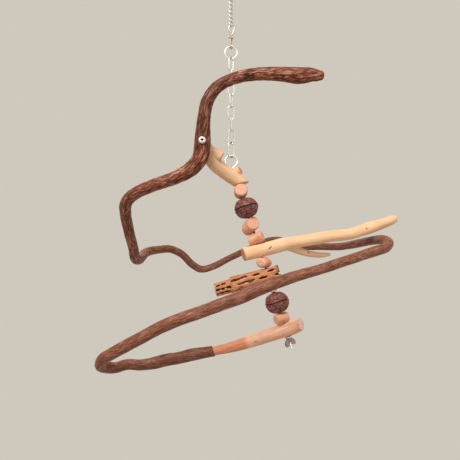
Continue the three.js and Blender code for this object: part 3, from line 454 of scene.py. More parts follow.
class Route:
    """An even walk along a smooth curve through the rows, with a frame that doesn't twist at each step."""

    def __init__(self, rows, spacing):
        rows = np.array(rows, dtype=float)
        line = rows[:, :3]
        ends = np.vstack([2 * line[0] - line[1], line, 2 * line[-1] - line[-2]])
        dense, places = [], []
        for index in range(len(line) - 1):
            a, b, c, d = ends[index:index + 4]
            before, here, after = [
                max(lengths(q - p), 1e-6) ** 0.5 for p, q in ((a, b), (b, c), (c, d))]
            start = ((b - a) / before - (c - a) / (before + here) + (c - b) / here) * here
            end = ((c - b) / here - (d - b) / (here + after) + (d - c) / after) * here
            for t in np.arange(24) / 24:
                dense.append(b + start * t + (-3 * b + 3 * c - 2 * start - end) * t ** 2
                             + (2 * b - 2 * c + start + end) * t ** 3)
                places.append(index + t)
        dense = np.array([*dense, line[-1]])
        places.append(len(line) - 1)
        runs = np.concatenate([[0], np.cumsum(lengths(np.diff(dense, axis=0)))])
        count = max(int(round(runs[-1] / spacing)), 4) + 1
        self.along = np.linspace(0, runs[-1], count)
        self.centres = np.column_stack([np.interp(self.along, runs, dense[:, axis]) for axis in range(3)])
        place = np.interp(self.along, runs, places)
        radius = np.interp(place, np.arange(len(rows)), rows[:, 3]) / 2
        soft = max(int(round(4 / spacing)), 1)
        padded = np.pad(radius, soft, mode="edge")
        self.radii = np.convolve(padded, np.ones(2 * soft + 1) / (2 * soft + 1), mode="valid")
        self.ways = np.gradient(self.centres, axis=0)
        self.ways /= lengths(self.ways)[:, None]
        first = np.cross(self.ways[0], (0.31, 0.95, 0.1))
        rights = [first / lengths(first)]
        for way in self.ways[1:]:
            right = rights[-1] - way * (rights[-1] @ way)
            rights.append(right / lengths(right))
        self.rights = np.array(rights)
        self.ups = np.cross(self.ways, self.rights)


def ring_faces(rings, sides):
    """The four corners of each face between neighbouring rings of points."""
    index = np.arange(rings * sides).reshape(rings, sides)
    turned = np.roll(index, -1, axis=1)
    return np.stack([index[:-1], turned[:-1], turned[1:], index[1:]], axis=-1).reshape(-1, 4)


def tube(name, route, sides, relief=None, rounding=0.8):
    """A closed tube round a route, with softened cut ends. Relief changes the radius at each point."""
    angles = np.arange(sides) / sides * 2 * math.pi
    radii = np.repeat(route.radii[:, None], sides, axis=1)
    if relief is not None:
        radii = radii + relief(*np.meshgrid(angles, route.along), radii)
    rings = []

    def add_ring(index, share=1, shift=0):
        rings.append(route.centres[index] + route.ways[index] * shift
                     + (radii[index] * share * np.cos(angles))[:, None] * route.rights[index]
                     + (radii[index] * share * np.sin(angles))[:, None] * route.ups[index])

    for share in CAP_SHARES:
        add_ring(0, share, -rounding * (1 - share ** 4))
    for index in range(len(route.along)):
        add_ring(index)
    for share in reversed(CAP_SHARES):
        add_ring(-1, share, rounding * (1 - share ** 4))
    ends = [list(range(sides))[::-1], list(range(len(rings) * sides - sides, len(rings) * sides))]
    return mesh_piece(name, np.concatenate(rings), ring_faces(len(rings), sides).tolist() + ends)


def store_grain(piece, routes):
    """Stores each point's place in the straightened wood, and how much it lies on a cut end. Gives the angle,
    the distance along and the radius of each point."""
    points, normals = points_of(piece), normals_of(piece)
    best = np.full(len(points), np.inf)
    grain, cut_share = np.zeros((len(points), 3)), np.zeros(len(points))
    for number, route in enumerate(routes):
        for start in range(0, len(points), BATCH):
            part = slice(start, start + BATCH)
            distance = lengths(points[part, None] - route.centres)
            nearest = distance.argmin(axis=1)
            measure = distance[np.arange(len(nearest)), nearest] - route.radii[nearest]
            better = measure < best[part]
            offset = points[part] - route.centres[nearest]
            own = np.column_stack([
                (offset * route.rights[nearest]).sum(axis=1),
                (offset * route.ups[nearest]).sum(axis=1),
                route.along[nearest] + (offset * route.ways[nearest]).sum(axis=1) + BRANCH_STEP * number,
            ])
            facing = np.abs((normals[part] * route.ways[nearest]).sum(axis=1))
            at_end = (nearest < 3) | (nearest > len(route.along) - 4)
            rows = np.flatnonzero(better) + start
            grain[rows] = own[better]
            cut_share[rows] = (smooth_step(0.55, 0.9, facing) * at_end)[better]
            best[rows] = measure[better]
    attribute(piece, "grain", grain)
    attribute(piece, "cut", cut_share)
    return np.arctan2(grain[:, 1], grain[:, 0]), grain[:, 2], np.hypot(grain[:, 0], grain[:, 1])


def marks_field(angles, along, radii, knots=(), splits=(), rings=()):
    """Height and darkness that knots, splits and cracked rings give at each point."""
    height, dark = np.zeros_like(along), np.zeros_like(along)
    for place, angle, size, rise, dip, darkness in knots:
        distance = np.hypot((along - place) / 1.3, radii * half_turn(angles - angle)) / size
        height += rise * bell(distance, 1) - dip * bell(distance, 0.45)
        dark += darkness * bell(distance, 0.55)
    for start, end, angle, lean, width, depth, darkness in splits:
        turn = half_turn(angles - angle - lean * (along - (start + end) / 2))
        inside = smooth_step(start - width, start + width, along) * smooth_step(end + width, end - width, along)
        share = bell(radii * turn, width) * inside
        height -= depth * share
        dark += darkness * share
    for place, width, depth, darkness in rings:
        share = bell(along - place, width)
        height -= depth * share
        dark += darkness * share
    return height, np.clip(dark, 0, 1)


def grow_relief(piece, routes, marks, ridges, lumps, seed):
    """Shapes a peeled stick's skin along its normals."""
    points, normals = points_of(piece), normals_of(piece)
    angles, along, radii = store_grain(piece, routes)
    coarse = skin_wave(angles, along, 1, 26, seed)
    fine = skin_wave(angles, along, 4.5, 42, seed + 1) + 0.35 * skin_wave(angles, along, 0.9 * radii, 12, seed + 2)
    height, _ = marks_field(angles, along, radii, **marks)
    shift = lumps * coarse + ridges * fine + height
    set_points(piece, points + normals * shift[:, None])


def wood_finish(piece, routes, marks, shades=((0, 0),)):
    """Stores what the wood's material reads: the straightened place, the cut ends, and the dark marks together with
    any darkening along the length, which on the vine includes painted shade.
    """
    angles, along, radii = store_grain(piece, routes)
    _, dark = marks_field(angles, along, radii, **marks)
    attribute(piece, "mark", np.clip(dark + np.interp(along, *zip(*shades)), 0, 1))
    return along


# ---- materials

def linear(colour):
    """Turns an sRGB hex value to the linear colour that a shader takes."""
    parts = [int(colour[index:index + 2], 16) / 255 for index in (1, 3, 5)]
    return (*[part / 12.92 if part <= 0.04045 else ((part + 0.055) / 1.055) ** 2.4 for part in parts], 1)


class Nodes:
    """A node tree in the making. Each call adds a node, with its sockets set or linked, and gives its output."""

    def __init__(self, owner):
        owner.use_nodes = True
        self.owner, self.tree = owner, owner.node_tree
        self.tree.nodes.clear()

    def add(self, kind, output, sockets, **settings):
        node = self.tree.nodes.new("ShaderNode" + kind)
        for key, value in settings.items():
            setattr(node, key, value)
        for socket, value in sockets.items():
            if isinstance(value, bpy.types.NodeSocket):
                self.tree.links.new(value, node.inputs[socket])
            else:
                node.inputs[socket].default_value = linear(value) if isinstance(value, str) else value
        return node if output is None else node.outputs[output]

    def read(self, name, output="Fac"):
        return self.add("Attribute", output, {}, attribute_name=name)

    def stretch(self, place, *sizes):
        """Makes a texture this long along each axis. A size of 0 flattens it."""
        return self.add("Mapping", "Vector", {"Vector": place, "Scale": [size and 1 / size for size in sizes]})

    def noise(self, place, scale, detail, roughness=0.5, distortion=0):
        return self.add("TexNoise", "Fac", {
            "Vector": place, "Scale": scale, "Detail": detail, "Roughness": roughness, "Distortion": distortion,
        })

    def ramp(self, value, stops):
        """A colour ramp whose stops are places and hex colours."""
        colour = self.add("ValToRGB", "Color", {"Fac": value})
        elements = colour.node.color_ramp.elements
        while len(elements) < len(stops):
            elements.new(0.5)
        for element, (place, tone) in zip(elements, stops):
            element.position = place
            element.color = linear(tone)
        return colour

    def spread(self, value, low, high, start=0, end=1):
        """Turns the span from start to end into the span from low to high."""
        return self.add("MapRange", "Result", {
            "Value": value, "From Min": start, "From Max": end, "To Min": low, "To Max": high,
        })

    def maths(self, operation, *values):
        return self.add("Math", "Value", dict(enumerate(values)), operation=operation)

    def blend(self, share, first, second, kind="MIX"):
        return self.add("Mix", 2, {0: share, 6: first, 7: second}, data_type="RGBA", blend_type=kind)

    def surface(self, colour, roughness, height, strength, depth, **more):
        """Ends a material with a shader whose relief is a height."""
        relief = self.add("Bump", "Normal", {"Height": height, "Strength": strength, "Distance": depth})
        shader = self.add("BsdfPrincipled", "BSDF", {
            "Base Color": colour, "Roughness": roughness, "Normal": relief, **more,
        })
        self.add("OutputMaterial", None, {"Surface": shader})
        return self.owner


def drawn_steel(name, tones, roughness, grit):
    """Steel or nickel plate with fine marks of its making: a sharp gleam that breaks up a little. The marks are
    finer than a pixel, so they are drawn about 0.4 mm wide. A near-black painted shade darkens the screw's recess
    and the spots where links bear on each other; on the rod between the pieces it stands for dirt and shade
    together."""
    look = Nodes(bpy.data.materials.new(name))
    marks = look.noise(look.add("TexCoord", "Object", {}), grit, 4, 0.6)
    tone = look.ramp(marks, ((0.3, tones[0]), (0.7, tones[1])))
    # Painted shade: the attribute blends the steel toward near black at contacts, recesses and the rod's gaps
    dirt_and_shade_tone = look.blend(look.read("dirt_and_painted_shade"), tone, "#16110F")
    gleam = look.spread(marks, roughness * 0.7, roughness * 1.5)
    return look.surface(dirt_and_shade_tone, gleam, marks, 0.25, 0.00004, Metallic=1)


def grown_wood(name, skin, stain, end_grain, knot, roughness, fibre, relief_depth):
    """Peeled branch wood. The grain attribute holds each point's place in the straightened branch in
    millimetres, so fibres run along it; cut ends show growth rings, and knots are darker."""
    look = Nodes(bpy.data.materials.new(name))
    grain = look.read("grain", "Vector")
    width, length = fibre
    fibres = look.noise(look.stretch(grain, width, width, length), 1, 5, 0.62, 0.3)
    patches = look.noise(look.stretch(grain, 9, 9, 34), 1, 3)
    stain_share = look.maths("MAXIMUM", look.spread(patches, 0, 0.6, 0.45, 0.7), look.read("dull"))
    stained = look.blend(stain_share, look.ramp(fibres, skin), stain, "MULTIPLY")
    flat = look.stretch(grain, 1, 1, 0)
    distance = look.add("VectorMath", "Value", {0: flat}, operation="LENGTH")
    ring_place = look.maths("MULTIPLY_ADD", look.noise(flat, 0.35, 2), 1.6, distance)
    ring_pitch = 2.2
    rings = look.maths("SINE", look.maths("MULTIPLY", ring_place, 2 * math.pi / ring_pitch))
    end_colour = look.ramp(look.spread(rings, 0, 1, -1, 1), end_grain)
    with_ends = look.blend(look.read("cut"), stained, end_colour)
    marked = look.blend(look.read("mark"), with_ends, knot)
    gleam = look.spread(fibres, *roughness)
    return look.surface(marked, gleam, fibres, 0.6, relief_depth, **{"Specular IOR Level": 0.4})


def vine_bark_material():
    """Vine with its bark rubbed by hand: red-brown, dark in its furrows and pale on its ridges, with a satin
    gleam. The lower strands are more rubbed, so they are pinker and plainer."""
    look = Nodes(bpy.data.materials.new("rubbed_vine_bark"))
    grain = look.read("grain", "Vector")
    fibres = look.noise(look.stretch(grain, 1.1, 1.1, 5), 1, 5, 0.68, 0.6)
    patches = look.noise(look.stretch(grain, 5, 5, 14), 1, 4)
    skin = look.maths("ADD", look.maths("MULTIPLY_ADD", look.read("rise"), 0.42, -0.21), fibres)
    skin = look.maths("ADD", skin, look.maths("MULTIPLY_ADD", patches, 0.3, -0.15))
    furrowed = look.ramp(skin, (
        (0.2, "#34130A"), (0.37, "#66311B"), (0.5, "#8D4D34"), (0.63, "#B26F54"), (0.82, "#DFA389")))
    rubbed = look.ramp(skin, (
        (0.15, "#62351F"), (0.36, "#7C4832"), (0.52, "#905943"), (0.68, "#A66E58"), (0.88, "#CA947E")))
    wear = look.spread(look.add("SeparateXYZ", "Z", {"Vector": grain}), 0, 1, 180, 620)
    worn = look.blend(wear, furrowed, rubbed)
    with_ends = look.blend(look.read("cut"), worn, "#6B3B29")
    # Knots, splits and the darker stretches along the vine blend toward near black; the stretch from 95 to 215 mm
    # is painted shade
    marked = look.blend(look.read("mark"), with_ends, "#1E0B06")
    gleam = look.spread(skin, 0.62, 0.42)
    return look.surface(marked, gleam, fibres, 0.75, 0.00035, **{"Specular IOR Level": 0.25})


def walnut_shell_material():
    """Dried walnut shell, oiled: dark red-brown, with painted shade nearly black in its wrinkles and along its
    seam, and a dull gleam on the swellings.
    """
    look = Nodes(bpy.data.materials.new("dried_walnut_shell"))
    place = look.add("TexCoord", "Object", {})
    skin = look.ramp(look.noise(place, 190, 5, 0.65), (
        (0.32, "#552A22"), (0.5, "#7F4438"), (0.62, "#975344"), (0.75, "#B16B58")))
    with_crease_shade = look.blend(look.read("painted_crease_shade"), skin, "#120705")
    return look.surface(with_crease_shade, 0.5, look.noise(place, 900, 3), 0.5, 0.00015)


def cholla_material():
    """Dried cholla skeleton: orange-tan, coarse fibres that part round the holes, painted shade nearly black on the
    inside, darker also at the ragged right end, and pale where its ribs are cut."""
    look = Nodes(bpy.data.materials.new("dried_cholla_skeleton"))
    fibres = look.noise(look.stretch(look.read("grain", "Vector"), 9, 0.9, 0.9), 1, 5, 0.65, 0.4)
    skin = look.ramp(fibres, ((0.28, "#854826"), (0.44, "#BC7449"), (0.58, "#D58F61"), (0.76, "#EBB388")))
    shaded = look.blend(look.read("depth"), skin, "#1F0E07")
    ended = look.blend(look.read("cut"), shaded, "#E8B790")
    return look.surface(ended, 0.8, fibres, 0.8, 0.0003)


# Stainless spring wire, drawn and tumbled: a bright white gleam with soft darker flanks.
stainless_wire = drawn_steel("drawn_stainless_wire", ("#DAD7D2", "#F2F0EC"), 0.34, 900)
# The screw is tumbled steel, duller than the wire; its pinkish tone is a painted reflection of the bark's red.
screw_steel = drawn_steel("tumbled_steel_screw", ("#C5B3AC", "#E0D0CA"), 0.42, 700)
# Zinc die casting with nickel plate: slightly warmer and softer than the wire.
nickel_casting = drawn_steel("nickel_plated_zinc_casting", ("#B9AB9F", "#DCD0C5"), 0.3, 350)
# The wing nut is pressed steel, blackened: grey-brown, with a soft gleam on its corners.
nut_steel = drawn_steel("blackened_pressed_steel", ("#7E625A", "#A68E86"), 0.36, 420)
# Branch wood with its bark peeled, sanded: cream with faint straight fibres, satin where hands smoothed it.
peeled_branch = grown_wood(
    "peeled_branch_wood",
    ((0.3, "#EDB88A"), (0.48, "#F6C79A"), (0.62, "#FACFA4"), (0.8, "#FCD8B2")), "#F8E0CC",
    ((0.15, "#B4714F"), (0.75, "#D99A76")), "#3C1A0E", (0.45, 0.62), (1.1, 18), 0.00012,
)
# The same wood freshly cut, a little pinker, with a pale moist end.
fresh_branch = grown_wood(
    "freshly_peeled_branch_wood",
    ((0.3, "#DFA07C"), (0.48, "#EBB28F"), (0.62, "#F3BF9E"), (0.8, "#F8CFB0")), "#DDAC88",
    ((0.1, "#F6BBA6"), (0.75, "#FFDCCF")), "#4B2418", (0.42, 0.6), (1.1, 16), 0.00014,
)
# Cuttings of the same branch, tumbled: pinker, with softened saw cuts and faint growth rings.
tumbled_cutting = grown_wood(
    "tumbled_branch_cuttings",
    ((0.3, "#D4906C"), (0.48, "#E4A580"), (0.62, "#EEB392"), (0.8, "#F6C6A8")), "#EBB497",
    ((0.15, "#D29070"), (0.75, "#F0B89B")), "#6A2E17", (0.45, 0.66), (1.0, 12), 0.00014,
)
vine_bark = vine_bark_material()
walnut_shell = walnut_shell_material()
cholla_wood = cholla_material()


# ---- chain

def wire_ring(name, length, width, wire):
    """A ring of wire, upright in the x-z plane, with its top wire at the origin, pulled out downwards."""
    radius, stretch = (width - wire) / 2, length - width
    piece = primitive(
        bpy.ops.mesh.primitive_torus_add, name, major_radius=radius, minor_radius=wire / 2,
        major_segments=48, minor_segments=18, location=(0, 0, -radius), rotation=(math.pi / 2, 0, 0),
    )
    if stretch:
        choose(piece, "VERT", lambda point: point.co.z < -radius - 0.01)
        bpy.ops.transform.translate(value=(0, 0, -stretch))
        close_edit()
        choose(piece, "EDGE", lambda edge: edge.calc_length() > stretch)
        bpy.ops.mesh.subdivide(number_cuts=9)
        close_edit()
    return piece


def weld(piece, middle, wire):
    """Raises the low bead that closing a ring leaves on its wire."""
    points = points_of(piece)
    offset = points - middle
    near = np.exp(-(lengths(offset) / wire) ** 4)
    swell = 0.1 * near * bell(offset[:, 2], 0.45 * wire)
    set_points(piece, points + offset * (1, 1, 0) * swell[:, None])


def link(node, size, turn=0, twist=0):
    """A ring or link: a plain one has a weld, and a curb link is twisted. Painted shade darkens where it bears on
    its neighbours.
    """
    length, width, wire = size
    piece = wire_ring(f"{node}_form", *size)
    if twist:
        modify(piece, "SIMPLE_DEFORM", deform_method="TWIST", deform_axis="Z",
               angle=-math.radians(twist) * length / (length - wire))
    else:
        weld(piece, ((width - wire) / 2, 0, -(length - wire) / 2), wire)
    points = points_of(piece)
    # Painted shade at the top and bottom, where the neighbouring links touch
    dirt_and_painted_shade = sum(0.8 * np.exp(-(lengths(points - (0, 0, spot)) / wire) ** 4)
                for spot in (-wire / 2, wire * 1.5 - length))
    attribute(piece, "dirt_and_painted_shade", np.clip(dirt_and_painted_shade, 0, 1))
    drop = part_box(node)[1].z - wire / 2 * MM
    matrix = Matrix.Translation((0, 0, drop)) @ Matrix.Rotation(math.radians(turn), 4, "Z") @ Matrix.Scale(MM, 4)
    finish(piece, stainless_wire, 60, matrix=matrix)


def rounded_copy(node):
    """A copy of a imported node, in millimetres, with its facets merged and melted as in a casting."""
    mesh = frame["nodes"][node].data.copy()
    mesh.transform(Matrix.Scale(1 / MM, 4))
    piece = new_object(f"{node}_form", mesh)
    choose(piece, "VERT")
    bpy.ops.mesh.remove_doubles(threshold=0.001)
    bpy.ops.object.mode_set(mode="OBJECT")
    return remesh(piece, *CLASP_MELT)


link("hanging_ring", HANGING_RING, -90)
for number in range(1, 8):
    link(f"curb_link_{number}", CURB_LINK, twist=CURB_TWIST)
for node in ("clasp_swivel_eye", "clasp_body", "clasp_gate"):
    finish(rounded_copy(node), nickel_casting, matrix=Matrix.Scale(MM, 4))
link("round_ring", ROUND_RING)
for number, turn in enumerate(CHAIN_TURNS, 1):
    link(f"chain_link_{number}", CHAIN_LINK, turn)
link("connector_link", CONNECTOR, CONNECTOR_TURN)
paint(frame["nodes"]["clasp_gate_pin"], nickel_casting)


# ---- rod and fastenings

def threaded_rod():
    """The rod's own wire bent into an eye, with a rolled thread at the lower end."""
    radius = (ROD_EYE_DIAMETER - ROD_EYE_WIRE) / 2
    line = [(0.1, 0, -1.4 * radius), (0.8, 0, -1.12 * radius)]
    for angle in np.radians(np.linspace(132, -130, 15)):
        line.append((math.sin(angle) * radius, 0, math.cos(angle) * radius))
    line.append((-0.32 * radius, 0, -0.95 * radius))
    eye = tube("threaded_rod_form", Route([(*point, ROD_EYE_WIRE) for point in line], 0.5), 20, rounding=0.4)

    def thread(angles, along, radii):
        turns = (along / THREAD_PITCH + angles / (2 * math.pi)) % 1
        fade = smooth_step(0, 1.5, along) * smooth_step(0, 1.2, THREAD_LENGTH - along)
        return -THREAD_DEPTH * (1 - np.abs(2 * turns - 1)) * fade

    def straight(top, end, spacing):
        return Route([(0, 0, -top, ROD_DIAMETER), (0, 0, -end, ROD_DIAMETER)], spacing)

    thread_top = ROD_END - THREAD_LENGTH
    shank = tube("shank", straight(1.05 * radius, thread_top, 6), 32)
    threaded = tube("thread", straight(thread_top, ROD_END, THREAD_PITCH / 8), 32, thread, rounding=0.5)
    piece = join([eye, shank, threaded])
    drops = -points_of(piece)[:, 2]
    # The shank is darkened where it shows between the pieces: dirt and painted shade together
    attribute(piece, "dirt_and_painted_shade", 0.9 * smooth_step(1.3 * radius, 1.7 * radius, drops) * (drops < STACK_DROP))
    return piece


def rod_washer():
    """A punched washer, with the soft upper edge that the punch leaves."""
    diameter, thickness = WASHER
    place = PLACES["rod_washer"]
    piece = bar("rod_washer_form", (0, 0, -place - thickness / 2), (0, 0, -place + thickness / 2), diameter, 64)
    bore(piece, place, thickness)
    return modify(piece, "BEVEL", width=0.18, segments=3, limit_method="ANGLE", angle_limit=math.radians(50))


def wing_nut():
    """A pressed wing nut: a round hub with two broad rounded wings that spread away from the washer."""
    place = PLACES["wing_nut"]
    foot = place + NUT_HEIGHT / 2
    parts = [primitive(
        bpy.ops.mesh.primitive_cone_add, "wing_nut_form", vertices=48, radius1=NUT_DIAMETER / 2,
        radius2=NUT_DIAMETER / 2 - 0.4, depth=NUT_HEIGHT, location=(0, 0, -place), rotation=(math.pi, 0, 0),
    )]
    for side in (-1, 1):
        wing = primitive(bpy.ops.mesh.primitive_cylinder_add, "wing", vertices=40, radius=1, depth=2,
                         rotation=(math.pi / 2, 0, 0))
        middle = (side * (NUT_WING_SPAN / 2 - 4.5), 0, 5.2 - foot - NUT_WING_RISE)
        lean = Matrix.Rotation(-side * math.radians(NUT_WING_LEAN), 4, "Y")
        wing.data.transform(Matrix.Translation(middle) @ lean @ Matrix.Diagonal((*NUT_WING_HALF, 1)))
        parts.append(wing)
    piece = remesh(join(parts), 0.2, 3)
    piece.data.transform(Matrix.Rotation(math.radians(NUT_TURN), 4, "Z"))
    bore(piece, place, NUT_HEIGHT + NUT_WING_RISE)
    return modify(piece, "SMOOTH", factor=0.3, iterations=1)


def vine_screw():
    """A round-head screw: a domed head with a cross recess, on a plain shank that the wood hides."""
    front, back = SCREW_SEAT - SCREW_HEAD_HEIGHT, SCREW_SEAT + SCREW_LENGTH
    x, _, z = SCREW_PLACE
    head = bar("vine_screw_form", (x, front, z), (x, SCREW_SEAT, z), SCREW_HEAD_DIAMETER, 64)
    choose(head, "EDGE", lambda edge: all(abs(point.co.y - front) < 0.01 for point in edge.verts))
    bpy.ops.mesh.bevel(offset=1.9, segments=8, affect="EDGES")
    close_edit()
    length, width, depth = RECESS
    for turn in (0, math.pi / 2):
        arm = primitive(bpy.ops.mesh.primitive_cube_add, "recess", size=1)
        arm.data.transform(
            Matrix.Translation((x, front, z)) @ Matrix.Rotation(turn + RECESS_TURN, 4, "Y")
            @ Matrix.Diagonal((length, 2 * depth, width, 1)))
        choose(arm, "FACE", lambda face: face.calc_center_median().y > front + depth / 2)
        bpy.ops.transform.resize(value=(0.55, 1, 0.55))
        close_edit()
        cut(head, arm)
    middle = SCREW_SEAT - SCREW_HEAD_HEIGHT / 2
    piece = join([head, bar("shank", (x, middle, z), (x, back, z), SCREW_DIAMETER)])
    points = points_of(piece)
    off_middle = np.hypot(points[:, 0] - x, points[:, 2] - z)
    # Painted shade: the faces inside the cross recess are painted dark
    in_recess = (points[:, 1] > front + 0.25) & (off_middle < length / 2 + 0.05)
    attribute(piece, "dirt_and_painted_shade", in_recess.astype(float))
    return piece


finish(threaded_rod(), stainless_wire, 50, "gym")
finish(rod_washer(), stainless_wire)
finish(wing_nut(), nut_steel)
finish(vine_screw(), screw_steel, 35, "gym")
paint(frame["nodes"]["joint_dowel"], peeled_branch)


# ---- beads, walnuts and cholla

def bead(name):
    """A short cutting of branch: a cylinder with softened rims, bored across its grain for the rod."""
    across, along, turn, rise, shift, edge, girth, knots = BEADS[name]
    diameter, length = across * BEAD_DIAMETER, along * BEAD_LENGTH
    seed = 5 if name == "top_bead" else 9 + 7 * int(name[-1])
    piece = primitive(bpy.ops.mesh.primitive_cylinder_add, f"{name}_form", vertices=64, radius=diameter / 2,
                      depth=length, rotation=(math.pi / 2, 0, 0))
    choose(piece, "EDGE", lambda part: abs(part.verts[0].co.y - part.verts[1].co.y) < 0.01)
    bpy.ops.mesh.bevel(offset=edge, segments=6, affect="EDGES")
    close_edit()
    if name == "bead_6":
        join([piece, side_stub(length)])
    remesh(piece, 0.36, 2)
    points, normals = points_of(piece), normals_of(piece)
    swell = 0.3 * wave(points / 6.5, seed) + 0.06 * wave(points * (1.3, 0.12, 1.3), seed + 1) + 0.04
    for place, size, _, dip in knots:
        off = lengths((points - place) * (1, 0.6, 1)) / size
        swell += dip * (0.35 * bell(off, 2) - bell(off, 1))
    set_points(piece, (points + normals * swell[:, None]) * girth)
    turn, rise = math.radians(turn), math.radians(rise)
    grain = Vector((math.cos(turn) * math.cos(rise), math.sin(turn) * math.cos(rise), math.sin(rise)))
    matrix = Vector((0, 1, 0)).rotation_difference(grain).to_matrix().to_4x4()
    middle = grain * (shift * BEAD_LENGTH)
    matrix.translation = (middle.x, middle.y, -PLACES[name])
    piece.data.transform(matrix)
    bore(piece, PLACES[name], diameter)
    local = np.array(matrix.inverted())
    points = (points_of(piece) @ local[:3, :3].T + local[:3, 3]) / girth
    facing = np.abs(normals_of(piece) @ np.array(grain))
    at_end = smooth_step(length / 2 - 1.1 * edge, length / 2 - 0.4 * edge, np.abs(points[:, 1]))
    attribute(piece, "grain", points[:, (0, 2, 1)] + (0, 0, 60 * seed))
    attribute(piece, "cut", smooth_step(0.6, 0.9, facing) * at_end)
    mark = np.zeros(len(points))
    for place, size, darkness, _ in knots:
        mark += darkness * bell(lengths(points - place), size)
    attribute(piece, "mark", np.clip(mark, 0, 1))
    return piece


def side_stub(length):
    """The stub of a side shoot on the lowest bead, with its soft pith gone."""
    root, tip = Vector((0, -0.2 * length, 0)), Vector((STUB_LENGTH, -0.3 * length, 0))
    stub = bar("stub", root, tip, STUB_DIAMETER)
    choose(stub, "FACE", lambda face: (face.calc_center_median() - tip).length < 0.1)
    bpy.ops.mesh.inset(thickness=0.8, depth=0)
    bpy.ops.mesh.inset(thickness=0.5, depth=0)
    bpy.ops.transform.translate(value=-PITH_DEPTH * (tip - root).normalized())
    close_edit()
    return stub


def walnut(name):
    """Two bulging halves with a raised split seam, a point at each end and a net of wrinkles along them."""
    turn, seed = WALNUTS[name]
    piece = primitive(bpy.ops.mesh.primitive_ico_sphere_add, f"{name}_form", subdivisions=7, radius=1)
    points = points_of(piece)
    unit = points / lengths(points)[:, None]
    off_seam = unit[:, 2] - 0.06 + 0.05 * wave(unit * 2.5, seed)
    seam = bell(off_seam, 0.17)
    waver = 0.45 * np.column_stack([wave(unit * 3.5, seed + k) for k in (1, 2, 3)])
    net = wave(unit * (1.7, 3, 3) + waver, seed + 4)
    small = wave(unit * (4, 7, 7) + waver, seed + 5)
    furrow = (bell(net, 0.085) + 0.4 * bell(small, 0.1)) * (1 - 0.7 * seam)
    lumps = 0.6 * wave(unit * 2.4, seed + 6) + 0.5 * wave(unit * (3, 5, 5), seed + 7)
    radius = 1 + 0.045 * seam - 0.11 * bell(off_seam, 0.042) + 0.03 * lumps - 0.055 * furrow
    radius += 0.05 * np.sin(np.arccos(np.clip(np.abs(unit[:, 2]), 0, 1)) * 2) ** 2
    points = unit * radius[:, None]
    points[:, 0] *= 0.97 + np.abs(unit[:, 0]) ** 14 * np.where(unit[:, 0] > 0, 0.05, 0.01)
    set_points(piece, points * WALNUT_SIZE / 2)
    # Painted shade: the wrinkles and the seam are darkened, a little wider than their grooves
    attribute(piece, "painted_crease_shade", np.clip(0.85 * furrow + bell(off_seam, 0.06), 0, 1))
    place = PLACES[name]
    piece.data.transform(Matrix.Translation((0, 0, -place)) @ Matrix.Rotation(math.radians(turn), 4, "Z"))
    return bore(piece, place, WALNUT_SIZE[2])


def cholla():
    """A dried cholla skeleton: a woody tube whose wall is pierced by staggered rows of long holes."""
    outer, inner = CHOLLA_DIAMETER / 2, CHOLLA_BORE / 2
    sides, rows = CHOLLA_GRID
    angles, along = np.meshgrid(
        np.arange(sides) / sides * 2 * math.pi, np.linspace(CHOLLA_LEFT, CHOLLA_OVERHANG, rows))
    angles, along = angles.ravel(), along.ravel()
    swelling = (CHOLLA_LEFT, CHOLLA_JOINT - 4, CHOLLA_JOINT, CHOLLA_JOINT + 4, -14, -5, 6, CHOLLA_OVERHANG)
    radius = outer * np.interp(along, swelling, (0.88, 0.92, 1.17, 1.16, 1.07, 1, 1, 1.04))
    radius += 0.3 * skin_wave(angles, along, 2, 1 / 0.09, 21)
    slots = cholla_slots(angles, along)
    radius -= 0.9 * np.exp(-np.clip(slots, 0, None) / 0.22)
    ragged = 1.3 * skin_wave(angles, along, 2.5, math.inf, 24) - 1.2
    ragged *= smooth_step(CHOLLA_OVERHANG - 8, CHOLLA_OVERHANG, along)
    points = np.column_stack([along + ragged, radius * np.cos(angles), radius * np.sin(angles)])
    corners = ring_faces(rows, sides)
    solid = slots[corners].mean(axis=1) > 0
    piece = mesh_piece("cholla_piece_form", points, corners[solid].tolist())
    choose(piece, "FACE")
    bpy.ops.mesh.delete_loose()
    close_edit()
    modify(piece, "SOLIDIFY", thickness=outer - inner - 0.6, offset=-1)
    remesh(piece, 0.45, 2)
    points, normals = points_of(piece), normals_of(piece)
    radius = np.hypot(points[:, 1], points[:, 2])
    ridges = wave(points * (0.16, 1.5, 1.5), 22) + 0.5 * wave(points * (0.3, 3, 3), 23)
    set_points(piece, points + normals * (0.2 * ridges)[:, None])
    attribute(piece, "grain", points)
    # Painted shade: the inner wall of the hollow tube is painted nearly black; the ragged right end is darkened as
    # well
    broken = smooth_step(CHOLLA_OVERHANG - 5, CHOLLA_OVERHANG - 1, points[:, 0] + 1.5 * ridges)
    inside = 1 - smooth_step(inner - 0.3, outer - 1.3, radius)
    attribute(piece, "depth", np.clip(inside + 0.85 * broken, 0, 1))
    attribute(piece, "cut", smooth_step(0.6, 0.9, -normals[:, 0]) * (points[:, 0] < CHOLLA_LEFT + 1.5))
    place = PLACES["cholla_piece"]
    piece.data.transform(Matrix.Translation((0, 0, -place)) @ Matrix.Rotation(CHOLLA_TILT, 4, "Y"))
    return bore(piece, place, CHOLLA_DIAMETER)


